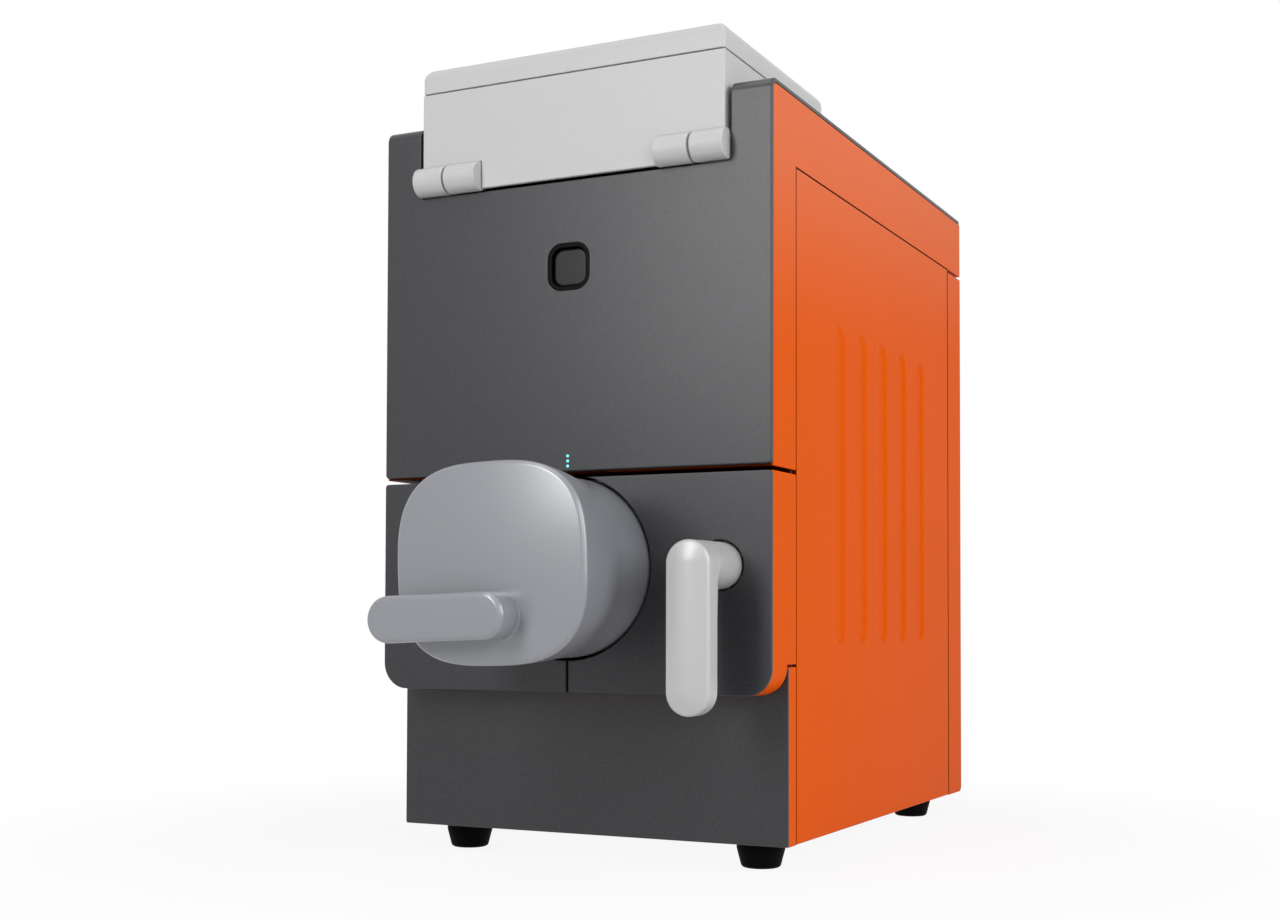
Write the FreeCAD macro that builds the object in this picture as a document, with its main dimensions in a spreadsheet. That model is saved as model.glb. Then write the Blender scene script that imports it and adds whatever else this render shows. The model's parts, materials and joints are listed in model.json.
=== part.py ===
import FreeCAD, Part
import math
import os
import re
import Sketcher
from FreeCAD import Placement, Rotation, Vector

# A tabletop scanning electron microscope, in millimetres.
# The floor is z = 0 and the operator stands on the -Y side.
# Depths are counted from the front face of the cabinet, and every piece is then moved
# forward by the same amount, so that the origin is under the middle of the whole object.

doc = FreeCAD.newDocument("tabletop_microscope")

SIZES = {
    # cabinet
    "body_width": 260,
    "body_depth": 387.2,
    "foot_height": 16.4,
    "plinth_height": 86.5,
    "fascia_height": 125.1,
    "groove_height": 5.5,
    "cover_height": 219,
    "front_depth": 37.6,
    "plinth_setback": 25.2,
    "plinth_rise": 16,
    "plinth_sheet": 1.2,
    "plinth_wall": 2.5,
    "plinth_gap": 1.5,
    "rear_depth": 33.7,
    "rear_wall": 2.5,
    "rear_drop": 2.5,
    "rear_corner": 4.5,
    "band_height": 43.1,
    "cover_sheet": 2.6,
    "cover_bend": 7,
    "cover_edge": 1.1,
    "cover_gap": 0.4,
    "housing_wall": 2.5,
    "panel_wall": 3,
    "panel_gap": 0.5,
    "frame_wall": 3,
    "window_radius": 18,
    "window_pitch": 90,
    "frame_lap": 25,
    "base_sheet": 2.5,
    "shelf_sheet": 3,
    "shelf_flange": 15,
    # stiffening beads in the side panels
    "bead_depth": 1.5,
    "bead_radius": 9,
    "bead_pitch": 42,
    "bead_rise": 115,
    "bead_drop": 82,
    # feet
    "foot_top": 14.5,
    "foot_bottom": 11.5,
    "foot_rim": 5,
    "foot_round": 2.5,
    "foot_spread": 101,
    "foot_front": 55.5,
    "foot_inset": 35.2,
    # fascia
    "fascia_sheet": 2,
    "fascia_corner": 16,
    "fascia_wall": 3,
    "fascia_seam": 2.5,
    # door drum
    "drum_drop": 51.6,
    "drum_gap": 1.5,
    "drum_base": 53.1,
    "drum_root": 34.3,
    "drum_neck": 12,
    "drum_front": 92,
    "drum_half_width": 60,
    "drum_half_height": 56,
    "drum_corner": 36,
    "drum_dome": 700,
    "drum_rim": 3,
    "drum_waist": 50.6,
    "waist_blend": 0.72,
    "corner_arc": 24,
    "side_crown": 0.106,
    "blank_spare": 2,
    "drum_bore": 43,
    "drum_skin": 19.5,
    # door handle
    "grip_reach": 109.5,
    "grip_thick": 9.5,
    "grip_round": 13,
    "grip_left": 66.4,
    "grip_right": 20.8,
    "grip_drop": 28.5,
    "grip_fall": 2.4,
    "grip_flare": 16,
    "grip_edge": 2,
    "neck_foot": 2,
    "neck_blend": 7.5,
    "neck_sink": 6,
    # door slide
    "flange_thick": 7.4,
    "seal_inset": 4,
    "seal_section": 1.5,
    "seal_depth": 2.9,
    "door_gap": 0.3,
    "rod_inset": 5,
    "rod_radius": 3.5,
    "rod_length": 153,
    "bush_radius": 6.5,
    "bush_length": 16,
    "bush_inset": 2,
    "running_gap": 0.05,
    "slide_gap": 0.3,
    # specimen stage
    "stage_half_width": 30,
    "stage_drop": 29,
    "stage_plate": 5,
    "stage_length": 98,
    "stage_upright": 4.3,
    "stage_rise": 25,
    "carriage_thick": 4.7,
    "carriage_width": 52,
    "carriage_length": 70,
    "cross_width": 40,
    "cross_length": 50,
    "cup_radius": 16,
    "cup_height": 15,
    "cup_corner": 1.5,
    "stub_radius": 6.35,
    "stub_thick": 3.2,
    "pin_radius": 1.6,
    "pin_length": 8,
    # vacuum chamber
    "chamber_half_width": 58,
    "chamber_length": 116,
    "chamber_drop": 63,
    "chamber_rise": 61,
    "chamber_corner": 6,
    "chamber_bore": 45,
    "chamber_depth": 106,
    "sleeve_radius": 6.5,
    "sleeve_bore": 4.5,
    "sleeve_length": 42,
    "sleeve_wall": 2,
    "port_radius": 22,
    "isolator_radius": 9,
    "isolator_spread": 45,
    "isolator_height": 9,
    # column
    "column_inset": 55,
    "column_radius": 32,
    "column_flange": 40,
    "lens_radius": 29.7,
    "lens_tip": 12,
    "lens_rise": 19,
    "lens_taper": 18,
    "lens_bore": 2,
    "flange_height": 8,
    "detector_radius": 11,
    "detector_thick": 2.8,
    "gun_sink": 11.5,
    "gun_radius": 38,
    "gun_height": 48,
    "gun_cap_radius": 33,
    "gun_cap_height": 24,
    "gun_clearance": 5,
    # turning lever
    "lever_inset": 31.8,
    "lever_drop": 51.4,
    "lever_gap": 1.4,
    "lever_boss": 13.3,
    "lever_half_width": 13.1,
    "lever_length": 70.2,
    "lever_reach": 46.5,
    "lever_thick": 15,
    "lever_edge": 4,
    "lever_root": 1.5,
    "shaft_radius": 6,
    "shaft_length": 90,
    "lever_block": 14,
    "valve_lap": 15.5,
    "valve_length": 34,
    # front button and lights
    "button_drop": 96.4,
    "bezel_width": 29,
    "bezel_corner": 9,
    "bezel_fit": 0.1,
    "bezel_recess": 0.5,
    "bezel_depth": 11,
    "bezel_flange": 4,
    "button_width": 23,
    "button_corner": 6.5,
    "button_clearance": 0.3,
    "button_recess": 2.6,
    "button_thick": 5.4,
    "bezel_floor": 9.6,
    "light_rise": 6.3,
    "light_pitch": 3,
    "light_radius": 0.9,
    "light_board": 10,
    # lid
    "lid_half_width": 102,
    "lid_front": 2,
    "lid_length": 160,
    "lid_gap": 1.7,
    "lid_height": 62.3,
    "lid_seam": 0.8,
    "cap_height": 16.7,
    "lid_wall": 3,
    "lid_round": 7,
    "notch_gap": 3,
    "notch_drop": 45.3,
    "notch_corner": 3,
    "deck_drop": 2.3,
    "deck_sheet": 2.5,
    "well_wall": 2,
    "well_ledge": 11,
    # lid hinges
    "hinge_reach": 2.4,
    "hinge_rise": 7.4,
    "hinge_radius": 8.8,
    "hinge_gap": 1,
    "body_barrel": 20.7,
    "lid_barrel": 21.9,
    "hinge_split": 1.4,
    "window_gap": 0.4,
    "hinge_pin": 2.5,
    "hinge_end": 1.2,
    "leaf_thick": 2.6,
    "leaf_height": 30.1,
    "leg_thick": 6,
    # pumps and electronics
    "turbo_gap": 10,
    "turbo_radius": 40,
    "turbo_flange": 46,
    "turbo_rise": 38,
    "duct_half_width": 24,
    "duct_length": 38,
    "duct_rise": 37,
    "pump_front": 70,
    "pump_length": 120,
    "pump_half_width": 44,
    "pump_height": 50,
    "pump_motor": 26,
    "supply_gap": 10.5,
    "supply_length": 128,
    "supply_inset": 10,
    "supply_width": 66,
    "supply_height": 44,
    "high_voltage_height": 62,
    "fin_depth": 3,
    "fin_pitch": 12,
    "board_front": 60,
    "board_length": 262,
    "board_rise": 15,
    "board_height": 250,
    "board_thick": 1.6,
    "board_standoff": 8,
    # rear
    "fan_across": 55,
    "fan_drop": 88,
    "fan_width": 80,
    "fan_depth": 25,
    "fan_bore": 37,
    "fan_hub": 16,
    "fan_blade": 34.5,
    "blade_half_width": 8,
    "blade_slant": 6,
    "fan_corner": 4,
    "grille_inner": 20,
    "grille_outer": 34,
    "grille_slot": 1.7,
    "grille_count": 24,
    "blade_count": 7,
    "inlet_across": 62,
    "inlet_rise": 47,
    "inlet_width": 40,
    "inlet_tall": 66,
    "inlet_depth": 24,
    "socket_width": 24,
    "socket_tall": 16,
    "socket_drop": 14,
    "socket_depth": 15,
    "socket_pin": 1.5,
    "rocker_width": 14,
    "rocker_tall": 21,
    "rocker_rise": 17,
    "rocker_radius": 11,
    "rocker_gap": 0.4,
    "rocker_setback": 7,
    "rocker_heel": 2,
    "rocker_valley": 2.4,
    "rocker_crest": 1.6,
    "rocker_inset": 1.2,
    "ports_across": 40,
    "ports_width": 60,
    "ports_tall": 20,
    "vent_drop": 140,
    "vent_pitch": 9,
    "vent_count": 8,
    "vent_half_length": 45,
    "vent_radius": 1.6,
}

sheet = doc.addObject("Spreadsheet::Sheet", "size")
for row, (name, length) in enumerate(SIZES.items(), start=1):
    sheet.set(f"A{row}", name)
    sheet.set(f"B{row}", str(length))
    sheet.setAlias(f"B{row}", name)
doc.recompute()

ALIAS = re.compile(r"\b[a-z]+(?:_[a-z]+)+\b")
subparts = {}
cuts = []


def formula(text):
    """Writes the sheet's name in front of each size, as an expression needs it."""
    return ALIAS.sub(r"size.\g<0>", str(text))


def number(text):
    """The present value of an expression in the sheet's sizes."""
    return float(sheet.evalExpression(formula(text)))


def bind(thing, **formulas):
    for name, text in formulas.items():
        thing.setExpression(name.replace("__", "."), formula(text))
    return thing


# Levels and planes that many pieces share, from the floor up and from the front back
HALF = "(body_width / 2)"
SHELL_X = "(body_width / 2 - panel_wall)"
INNER_X = "(body_width / 2 - panel_wall - frame_wall)"
BASE_Z = "(foot_height + base_sheet)"
FASCIA_Z = "(foot_height + plinth_height)"
PLINTH_TOP = f"({FASCIA_Z} + plinth_rise)"
GROOVE_Z = f"({FASCIA_Z} + fascia_height)"
COVER_Z = f"({GROOVE_Z} + groove_height)"
TOP_Z = f"({COVER_Z} + cover_height)"
BAND_Z = f"({TOP_Z} - band_height)"
REAR_Y = "(body_depth - rear_depth)"
WALL_Y = "(body_depth - rear_wall)"
FLANGE_Y = "(drum_root + flange_thick)"
CHAMBER_Y = f"({FLANGE_Y} + door_gap)"
CHAMBER_END = f"({CHAMBER_Y} + chamber_length)"
COLUMN_Y = f"({CHAMBER_Y} + column_inset)"
TURBO_Y = f"({CHAMBER_END} + duct_length + turbo_flange + turbo_gap)"

# The door's axis, and what is centred on it
DRUM_Z = f"({GROOVE_Z} - drum_drop)"
DRUM_HOLE = "(drum_base + drum_gap)"
GRIP_Z = f"({DRUM_Z} - grip_drop)"
SEAL_RADIUS = "(chamber_bore + seal_inset)"
ROD_X = "(chamber_bore - rod_inset)"
CHAMBER_Z = f"({DRUM_Z} - chamber_drop)"
CHAMBER_TOP = f"({DRUM_Z} + chamber_rise)"
SHELF_Z = f"({CHAMBER_Z} - isolator_height)"
STAGE_Z = f"({DRUM_Z} - stage_drop)"
CARRIAGE_Z = f"({STAGE_Z} + stage_plate + slide_gap)"
CROSS_Z = f"({CARRIAGE_Z} + carriage_thick + slide_gap)"
CUP_Z = f"({CROSS_Z} + carriage_thick)"
LENS_Z = f"({DRUM_Z} + lens_rise)"
TURBO_TOP = f"({DRUM_Z} + turbo_rise)"

# The lid's notch, what lies in it, and the lever, button and lights on the front
NOTCH_X = "(lid_half_width + notch_gap)"
NOTCH_Y = "(lid_length - lid_front + notch_gap)"
NOTCH_Z = f"({TOP_Z} - notch_drop)"
DECK_Z = f"({NOTCH_Z} - deck_drop)"
GUN_Z = f"({DECK_Z} - gun_sink)"
LID_Z = f"({NOTCH_Z} + lid_gap)"
SPLIT_Z = f"({LID_Z} + lid_height)"
LID_TOP = f"({SPLIT_Z} + cap_height)"
HINGE_Z = f"({LID_Z} + hinge_rise)"
HINGE_OUTER = f"({NOTCH_X} - hinge_gap)"
HINGE_MIDDLE = f"({HINGE_OUTER} - body_barrel - hinge_split)"
HINGE_INNER = f"({HINGE_MIDDLE} - lid_barrel)"
LEVER_X = f"({HALF} - lever_inset)"
LEVER_Z = f"({GROOVE_Z} - lever_drop)"
LEVER_HOLE = "(lever_boss + lever_gap)"
BUTTON_Z = f"({TOP_Z} - button_drop)"
LIGHT_Z = f"({COVER_Z} + light_rise)"

# The rear cover's openings
FAN_Z = f"({BAND_Z} - fan_drop)"
INLET_Z = "(foot_height + inlet_rise)"


# Drawing in a sketch


def fix_point(sketch, geometry, point, across, up):
    """Ties one point of a sketch to its two distances from the sketch's origin."""
    for kind, text in (("DistanceX", across), ("DistanceY", up)):
        index = sketch.addConstraint(Sketcher.Constraint(kind, -1, 1, geometry, point, number(text)))
        sketch.setExpression(f"Constraints[{index}]", formula(text))


def fix_radius(sketch, geometry, text):
    index = sketch.addConstraint(Sketcher.Constraint("Radius", geometry, number(text)))
    sketch.setExpression(f"Constraints[{index}]", formula(text))


def circle(across, up, radius):
    def draw(sketch):
        centre = Vector(number(across), number(up), 0)
        ring = sketch.addGeometry(Part.Circle(centre, Vector(0, 0, 1), number(radius)), False)
        fix_point(sketch, ring, 3, across, up)
        fix_radius(sketch, ring, radius)
    return draw


def slot(first, second, radius):
    """A stadium: two half circles about two centres, with straight sides between them."""
    def draw(sketch):
        start = Vector(number(first[0]), number(first[1]), 0)
        stop = Vector(number(second[0]), number(second[1]), 0)
        reach = number(radius)
        along = (stop - start).normalize()
        side = Vector(-along.y, along.x, 0) * reach
        lower = sketch.addGeometry(Part.LineSegment(start - side, stop - side), False)
        far = sketch.addGeometry(Part.Arc(stop - side, stop + along * reach, stop + side), False)
        upper = sketch.addGeometry(Part.LineSegment(stop + side, start + side), False)
        near = sketch.addGeometry(Part.Arc(start + side, start - along * reach, start - side), False)
        for one, two in ((lower, far), (far, upper), (upper, near), (near, lower)):
            sketch.addConstraint(Sketcher.Constraint("Tangent", one, 2, two, 1))
        fix_point(sketch, near, 3, *first)
        fix_point(sketch, far, 3, *second)
        fix_radius(sketch, near, radius)
        fix_radius(sketch, far, radius)
    return draw


def polygon(*corners):
    """A closed outline. Each corner is (across, up) or, where it is rounded, (across, up, radius)."""
    def draw(sketch):
        count = len(corners)
        points = [Vector(number(corner[0]), number(corner[1]), 0) for corner in corners]
        marks, starts, stops, arcs = [], [], [], {}
        for index, corner in enumerate(corners):
            point = points[index]
            marks.append(sketch.addGeometry(Part.Point(point), True))
            fix_point(sketch, marks[index], 1, corner[0], corner[1])
            before = (points[index - 1] - point).normalize()
            after = (points[(index + 1) % count] - point).normalize()
            if len(corner) == 3:
                half_turn = before.getAngle(after) / 2
                radius = number(corner[2])
                back = radius / math.tan(half_turn)
                middle = (before + after).normalize()
                nearest = point + middle * (radius / math.sin(half_turn) - radius)
                stops.append(point + before * back)
                starts.append(point + after * back)
                arcs[index] = nearest
            else:
                stops.append(point)
                starts.append(point)
        lines = []
        for index in range(count):
            line = Part.LineSegment(starts[index], stops[(index + 1) % count])
            lines.append(sketch.addGeometry(line, False))
        for index, corner in enumerate(corners):
            incoming = lines[index - 1]
            outgoing = lines[index]
            if index not in arcs:
                sketch.addConstraint(Sketcher.Constraint("Coincident", incoming, 2, marks[index], 1))
                sketch.addConstraint(Sketcher.Constraint("Coincident", outgoing, 1, marks[index], 1))
                continue
            bend = Part.Arc(stops[index], arcs[index], starts[index])
            arc = sketch.addGeometry(bend, False)
            at_start = sketch.getPoint(arc, 1).distanceToPoint(stops[index])
            at_stop = sketch.getPoint(arc, 2).distanceToPoint(stops[index])
            first, second = (1, 2) if at_start < at_stop else (2, 1)
            sketch.addConstraint(Sketcher.Constraint("Tangent", incoming, 2, arc, first))
            sketch.addConstraint(Sketcher.Constraint("Tangent", outgoing, 1, arc, second))
            sketch.addConstraint(Sketcher.Constraint("PointOnObject", marks[index], 1, incoming))
            sketch.addConstraint(Sketcher.Constraint("PointOnObject", marks[index], 1, outgoing))
            fix_radius(sketch, arc, corner[2])
    return draw


def rectangle(left, right, bottom, top, radius=None):
    places = ((left, bottom), (right, bottom), (right, top), (left, top))
    if radius is None:
        return polygon(*places)
    return polygon(*[(across, up, radius) for across, up in places])


def outline(body, plane, level, shapes, centre=None):
    """A sketch on one of the body's own planes, moved along that plane's normal to a level."""
    sketch = body.newObject("Sketcher::SketchObject", "outline")
    datum = next(item for item in body.Origin.OriginFeatures if item.Role == plane + "_Plane")
    sketch.AttachmentSupport = [(datum, "")]
    sketch.MapMode = "FlatFace"
    sketch.setExpression("AttachmentOffset.Base.z", formula(level))
    if centre:
        sketch.setExpression("AttachmentOffset.Base.x", formula(centre[0]))
        sketch.setExpression("AttachmentOffset.Base.y", formula(centre[1]))
    for draw in shapes:
        draw(sketch)
    return sketch


def extrude(body, kind, plane, low, high, shapes, centre=None):
    # The normal of the XZ plane points to -Y, so there the sketch lies at the far side.
    level = f"-({high})" if plane == "XZ" else low
    sketch = outline(body, plane, level, shapes, centre)
    feature = body.newObject(kind, "extrusion")
    feature.Profile = sketch
    feature.setExpression("Length", formula(f"({high}) - ({low})"))
    if kind == "PartDesign::Pocket":
        feature.Reversed = True
        cuts.append(feature)
    return feature


def new_body():
    return doc.addObject("PartDesign::Body", "body")


def prism(plane, low, high, *shapes):
    """A body whose outline is carried along the normal of its plane, from low to high."""
    body = new_body()
    extrude(body, "PartDesign::Pad", plane, low, high, shapes)
    return body


def add(body, plane, low, high, *shapes):
    extrude(body, "PartDesign::Pad", plane, low, high, shapes)


def carve(body, plane, low, high, *shapes, centre=None):
    return extrude(body, "PartDesign::Pocket", plane, low, high, shapes, centre)


def turned(across, back, *corners):
    """A body turned about an upright axis. The corners are (radius, height) or rounded ones."""
    body = new_body()
    sketch = outline(body, "XZ", "0", [polygon(*corners)])
    feature = body.newObject("PartDesign::Revolution", "turning")
    feature.Profile = sketch
    feature.ReferenceAxis = (sketch, ["V_Axis"])
    feature.Angle = 360
    bind(body, Placement__Base__x=across, Placement__Base__y=back)
    return body


def soften(body, radius, chosen):
    """Rounds the edges of the body that chosen picks."""
    doc.recompute()
    shape = body.Tip.Shape
    names = [f"Edge{index}" for index, edge in enumerate(shape.Edges, start=1) if chosen(edge)]
    base = body.Tip
    feature = body.newObject("PartDesign::Fillet", "rounding")
    feature.Base = (base, names)
    feature.setExpression("Radius", formula(radius))


# Part primitives and booleans


def box(left, right, front, back, bottom, top):
    block = doc.addObject("Part::Box", "block")
    bind(block, Length=f"({right}) - ({left})", Width=f"({back}) - ({front})", Height=f"({top}) - ({bottom})")
    return bind(block, Placement__Base__x=left, Placement__Base__y=front, Placement__Base__z=bottom)


TURNS = {
    "X": Rotation(Vector(0, 1, 0), 90),
    "Y": Rotation(Vector(1, 0, 0), -90),
    "Z": Rotation(),
}


def rod(axis, radius, length, across, back, up):
    """A round bar that starts at the given point and runs along +X, +Y or +Z."""
    bar = doc.addObject("Part::Cylinder", "bar")
    bar.Placement = Placement(Vector(), TURNS[axis])
    bind(bar, Radius=radius, Height=length)
    return bind(bar, Placement__Base__x=across, Placement__Base__y=back, Placement__Base__z=up)


def fuse(*pieces):
    whole = doc.addObject("Part::MultiFuse", "joined")
    whole.Shapes = list(pieces)
    whole.Refine = True
    return whole


def cut(base, *tools):
    result = doc.addObject("Part::Cut", "cut")
    result.Base = base
    result.Tool = tools[0] if len(tools) == 1 else fuse(*tools)
    return result


def group(*pieces):
    whole = doc.addObject("Part::Compound", "set")
    whole.Links = list(pieces)
    return whole


def subpart(label, thing):
    """Names a finished piece and moves it from the front face's own zero to the whole object's."""
    thing.Label = label
    place = thing.ExpressionEngine
    base = next((text for path, text in place if path.lstrip(".") == "Placement.Base.y"), "0")
    thing.setExpression("Placement.Base.y", f"({base}) + (size.grip_reach - size.body_depth) / 2")
    subparts[label] = thing
    return thing


# Grey front-and-top cover: one bent sheet with a notch for the lid


def make_upper_cover():
    inner_bend = "cover_bend - cover_sheet"
    sheet_top = f"{TOP_Z} - cover_sheet"
    body = prism("YZ", f"-{HALF}", HALF, polygon(
        ("0", COVER_Z), ("cover_sheet", COVER_Z), ("cover_sheet", sheet_top, inner_bend),
        ("body_depth", sheet_top), ("body_depth", TOP_Z), ("0", TOP_Z, "cover_bend")))
    carve(body, "XZ", "-1", NOTCH_Y, polygon(
        (f"-{NOTCH_X}", NOTCH_Z, "notch_corner"),
        (NOTCH_X, NOTCH_Z, "notch_corner"),
        (NOTCH_X, f"{TOP_Z} + 1"), (f"-{NOTCH_X}", f"{TOP_Z} + 1")))
    half = "bezel_width / 2"
    carve(body, "XZ", "-1", "cover_sheet + 1", rectangle(
        f"-{half}", half, f"{BUTTON_Z} - {half}", f"{BUTTON_Z} + {half}", "bezel_corner"))
    holes = [circle("0", f"{LIGHT_Z} + {step} * light_pitch", "light_radius") for step in (-1, 0, 1)]
    carve(body, "XZ", "-1", "cover_sheet + 1", *holes)
    side = number(HALF)
    thick = number("cover_sheet")
    top = number(TOP_Z)

    def outer_edge(edge):
        reach = edge.BoundBox
        on_side = abs(abs(reach.XMin) - side) < 0.01 and reach.XLength < 0.01
        low_inside = reach.YMin > thick - 0.01 and reach.ZMax < top - thick + 0.01
        return on_side and not low_inside and max(reach.YLength, reach.ZLength) > 2 * thick

    soften(body, "cover_edge", outer_edge)
    subpart("upper_cover", body)


# Orange housing under it: two L-shaped cheeks, a sill over the groove and a rear wall


def make_upper_housing():
    top = f"{TOP_Z} - cover_sheet - cover_gap"
    front = "cover_sheet + cover_gap"
    body = prism("YZ", f"-{HALF}", HALF, polygon(
        (front, COVER_Z), ("front_depth", COVER_Z), ("front_depth", BAND_Z), ("body_depth", BAND_Z),
        ("body_depth", top), (front, top, "cover_bend - cover_sheet - cover_gap")))
    inner = f"{HALF} - housing_wall - cover_gap"
    carve(body, "XZ", "-1", "body_depth - housing_wall",
          rectangle(f"-({inner})", inner, f"{COVER_Z} + housing_wall", f"{TOP_Z} + 1"))
    subpart("upper_housing", body)


# Side panels with pressed stiffening beads


def make_side_panel(label, side):
    inner, outer = ("-" + HALF, "-" + SHELL_X) if side < 0 else (SHELL_X, HALF)
    body = prism("YZ", inner, outer, rectangle(
        "front_depth + panel_gap", f"{REAR_Y} - panel_gap", "foot_height", f"{BAND_Z} - panel_gap"))
    low, high = f"{HALF} - bead_depth", f"{HALF} + 1"
    if side < 0:
        low, high = f"-({high})", f"-({low})"
    beads = []
    for step in (-2, -1, 0, 1, 2):
        middle = f"(front_depth + {REAR_Y}) / 2 + {step} * bead_pitch"
        low_end = "foot_height + bead_rise + bead_radius"
        high_end = f"{BAND_Z} - bead_drop - bead_radius"
        beads.append(slot((middle, low_end), (middle, high_end), "bead_radius"))
    carve(body, "YZ", low, high, *beads)
    subpart(label, body)


# Rear cover: a shallow tray with a fan grille, vents and openings for the sockets


def make_rear_cover():
    top = f"{BAND_Z} - rear_drop"
    front = f"{REAR_Y} + panel_gap"
    body = prism("YZ", f"-{HALF}", HALF, polygon(
        (front, "foot_height"), ("body_depth", "foot_height", "rear_corner"),
        ("body_depth", top), (front, top)))
    inner = f"{HALF} - rear_wall"
    carve(body, "XZ", REAR_Y, WALL_Y, rectangle(
        f"-({inner})", inner, "foot_height + rear_wall", f"{top} - rear_wall"))
    through = ("XZ", f"{WALL_Y} - 1", "body_depth + 1")
    carve(body, *through, rectangle(
        "inlet_across - inlet_width / 2", "inlet_across + inlet_width / 2",
        f"{INLET_Z} - inlet_tall / 2", f"{INLET_Z} + inlet_tall / 2"))
    carve(body, *through, rectangle(
        "-ports_across - ports_width / 2", "-ports_across + ports_width / 2",
        f"{INLET_Z} - ports_tall / 2", f"{INLET_Z} + ports_tall / 2"))
    vents = []
    for step in range(int(number("vent_count"))):
        height = f"{FAN_Z} - vent_drop + {step} * vent_pitch"
        ends = ("-vent_half_length", height), ("vent_half_length", height)
        vents.append(slot(*ends, "vent_radius"))
    carve(body, *through, *vents)
    grille = carve(body, *through, slot(("0", "grille_inner"), ("0", "grille_outer"), "grille_slot"),
                   centre=("-fan_across", FAN_Z))
    pattern = body.newObject("PartDesign::PolarPattern", "grille")
    pattern.Originals = [grille]
    pattern.Axis = (grille.Profile[0], ["N_Axis"])
    pattern.Angle = 360
    bind(pattern, Occurrences="grille_count")
    body.Tip = pattern
    subpart("rear_cover", body)


# Plinth: an orange tray behind a grey front sheet, both reaching up behind the fascia


def make_plinth():
    sheet_back = "plinth_setback + plinth_sheet"
    frame = prism("XZ", sheet_back, "front_depth", rectangle(f"-{HALF}", HALF, "foot_height", PLINTH_TOP))
    inner = f"{HALF} - plinth_wall"
    carve(frame, "XZ", f"{sheet_back} + plinth_wall", "front_depth + 1", rectangle(
        f"-({inner})", inner, "foot_height + plinth_wall", f"{PLINTH_TOP} - plinth_wall"))
    subpart("plinth_frame", frame)
    panel = prism("XZ", "plinth_setback", sheet_back, rectangle(f"-{HALF}", HALF, "foot_height", PLINTH_TOP))
    subpart("plinth_panel", panel)


# Fascia: an orange moulding that overhangs the plinth, and two grey front plates


def make_fascia():
    block = prism("XZ", "fascia_sheet", "front_depth", polygon(
        (f"-{HALF}", FASCIA_Z, "fascia_corner"), (HALF, FASCIA_Z, "fascia_corner"),
        (HALF, GROOVE_Z), (f"-{HALF}", GROOVE_Z)))
    step = f"{PLINTH_TOP} + plinth_gap"
    carve(block, "XZ", "plinth_setback - plinth_gap", "front_depth + 1",
          rectangle(f"-{HALF} - 1", f"{HALF} + 1", f"{FASCIA_Z} - 1", step))
    inner = f"{HALF} - fascia_wall"
    carve(block, "XZ", "fascia_sheet + fascia_wall", "front_depth + 1", rectangle(
        f"-({inner})", inner, f"{step} + fascia_wall", f"{GROOVE_Z} - fascia_wall"))
    drum = circle("0", DRUM_Z, DRUM_HOLE)
    lever = circle(LEVER_X, LEVER_Z, LEVER_HOLE)
    # The moulding's back edge rises to the housing's sill and closes the groove behind.
    add(block, "XZ", "front_depth - fascia_wall", "front_depth", rectangle(
        f"-{SHELL_X}", SHELL_X, f"{GROOVE_Z} - fascia_wall", COVER_Z))
    carve(block, "XZ", "fascia_sheet - 1", "front_depth + 1", drum, lever)
    subpart("fascia_block", block)
    for label, side, holes in (("fascia_panel_left", "-", [drum]), ("fascia_panel_right", "", [drum, lever])):
        seam = f"{side}(fascia_seam / 2)"
        panel = prism("XZ", "0", "fascia_sheet", polygon(
            (side + HALF, FASCIA_Z, "fascia_corner"), (seam, FASCIA_Z),
            (seam, GROOVE_Z), (side + HALF, GROOVE_Z)))
        for hole in holes:
            carve(panel, "XZ", "-1", "fascia_sheet + 1", hole)
        subpart(label, panel)


# Chassis: base plate, two side frames, a shelf between them and the deck under the lid


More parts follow.
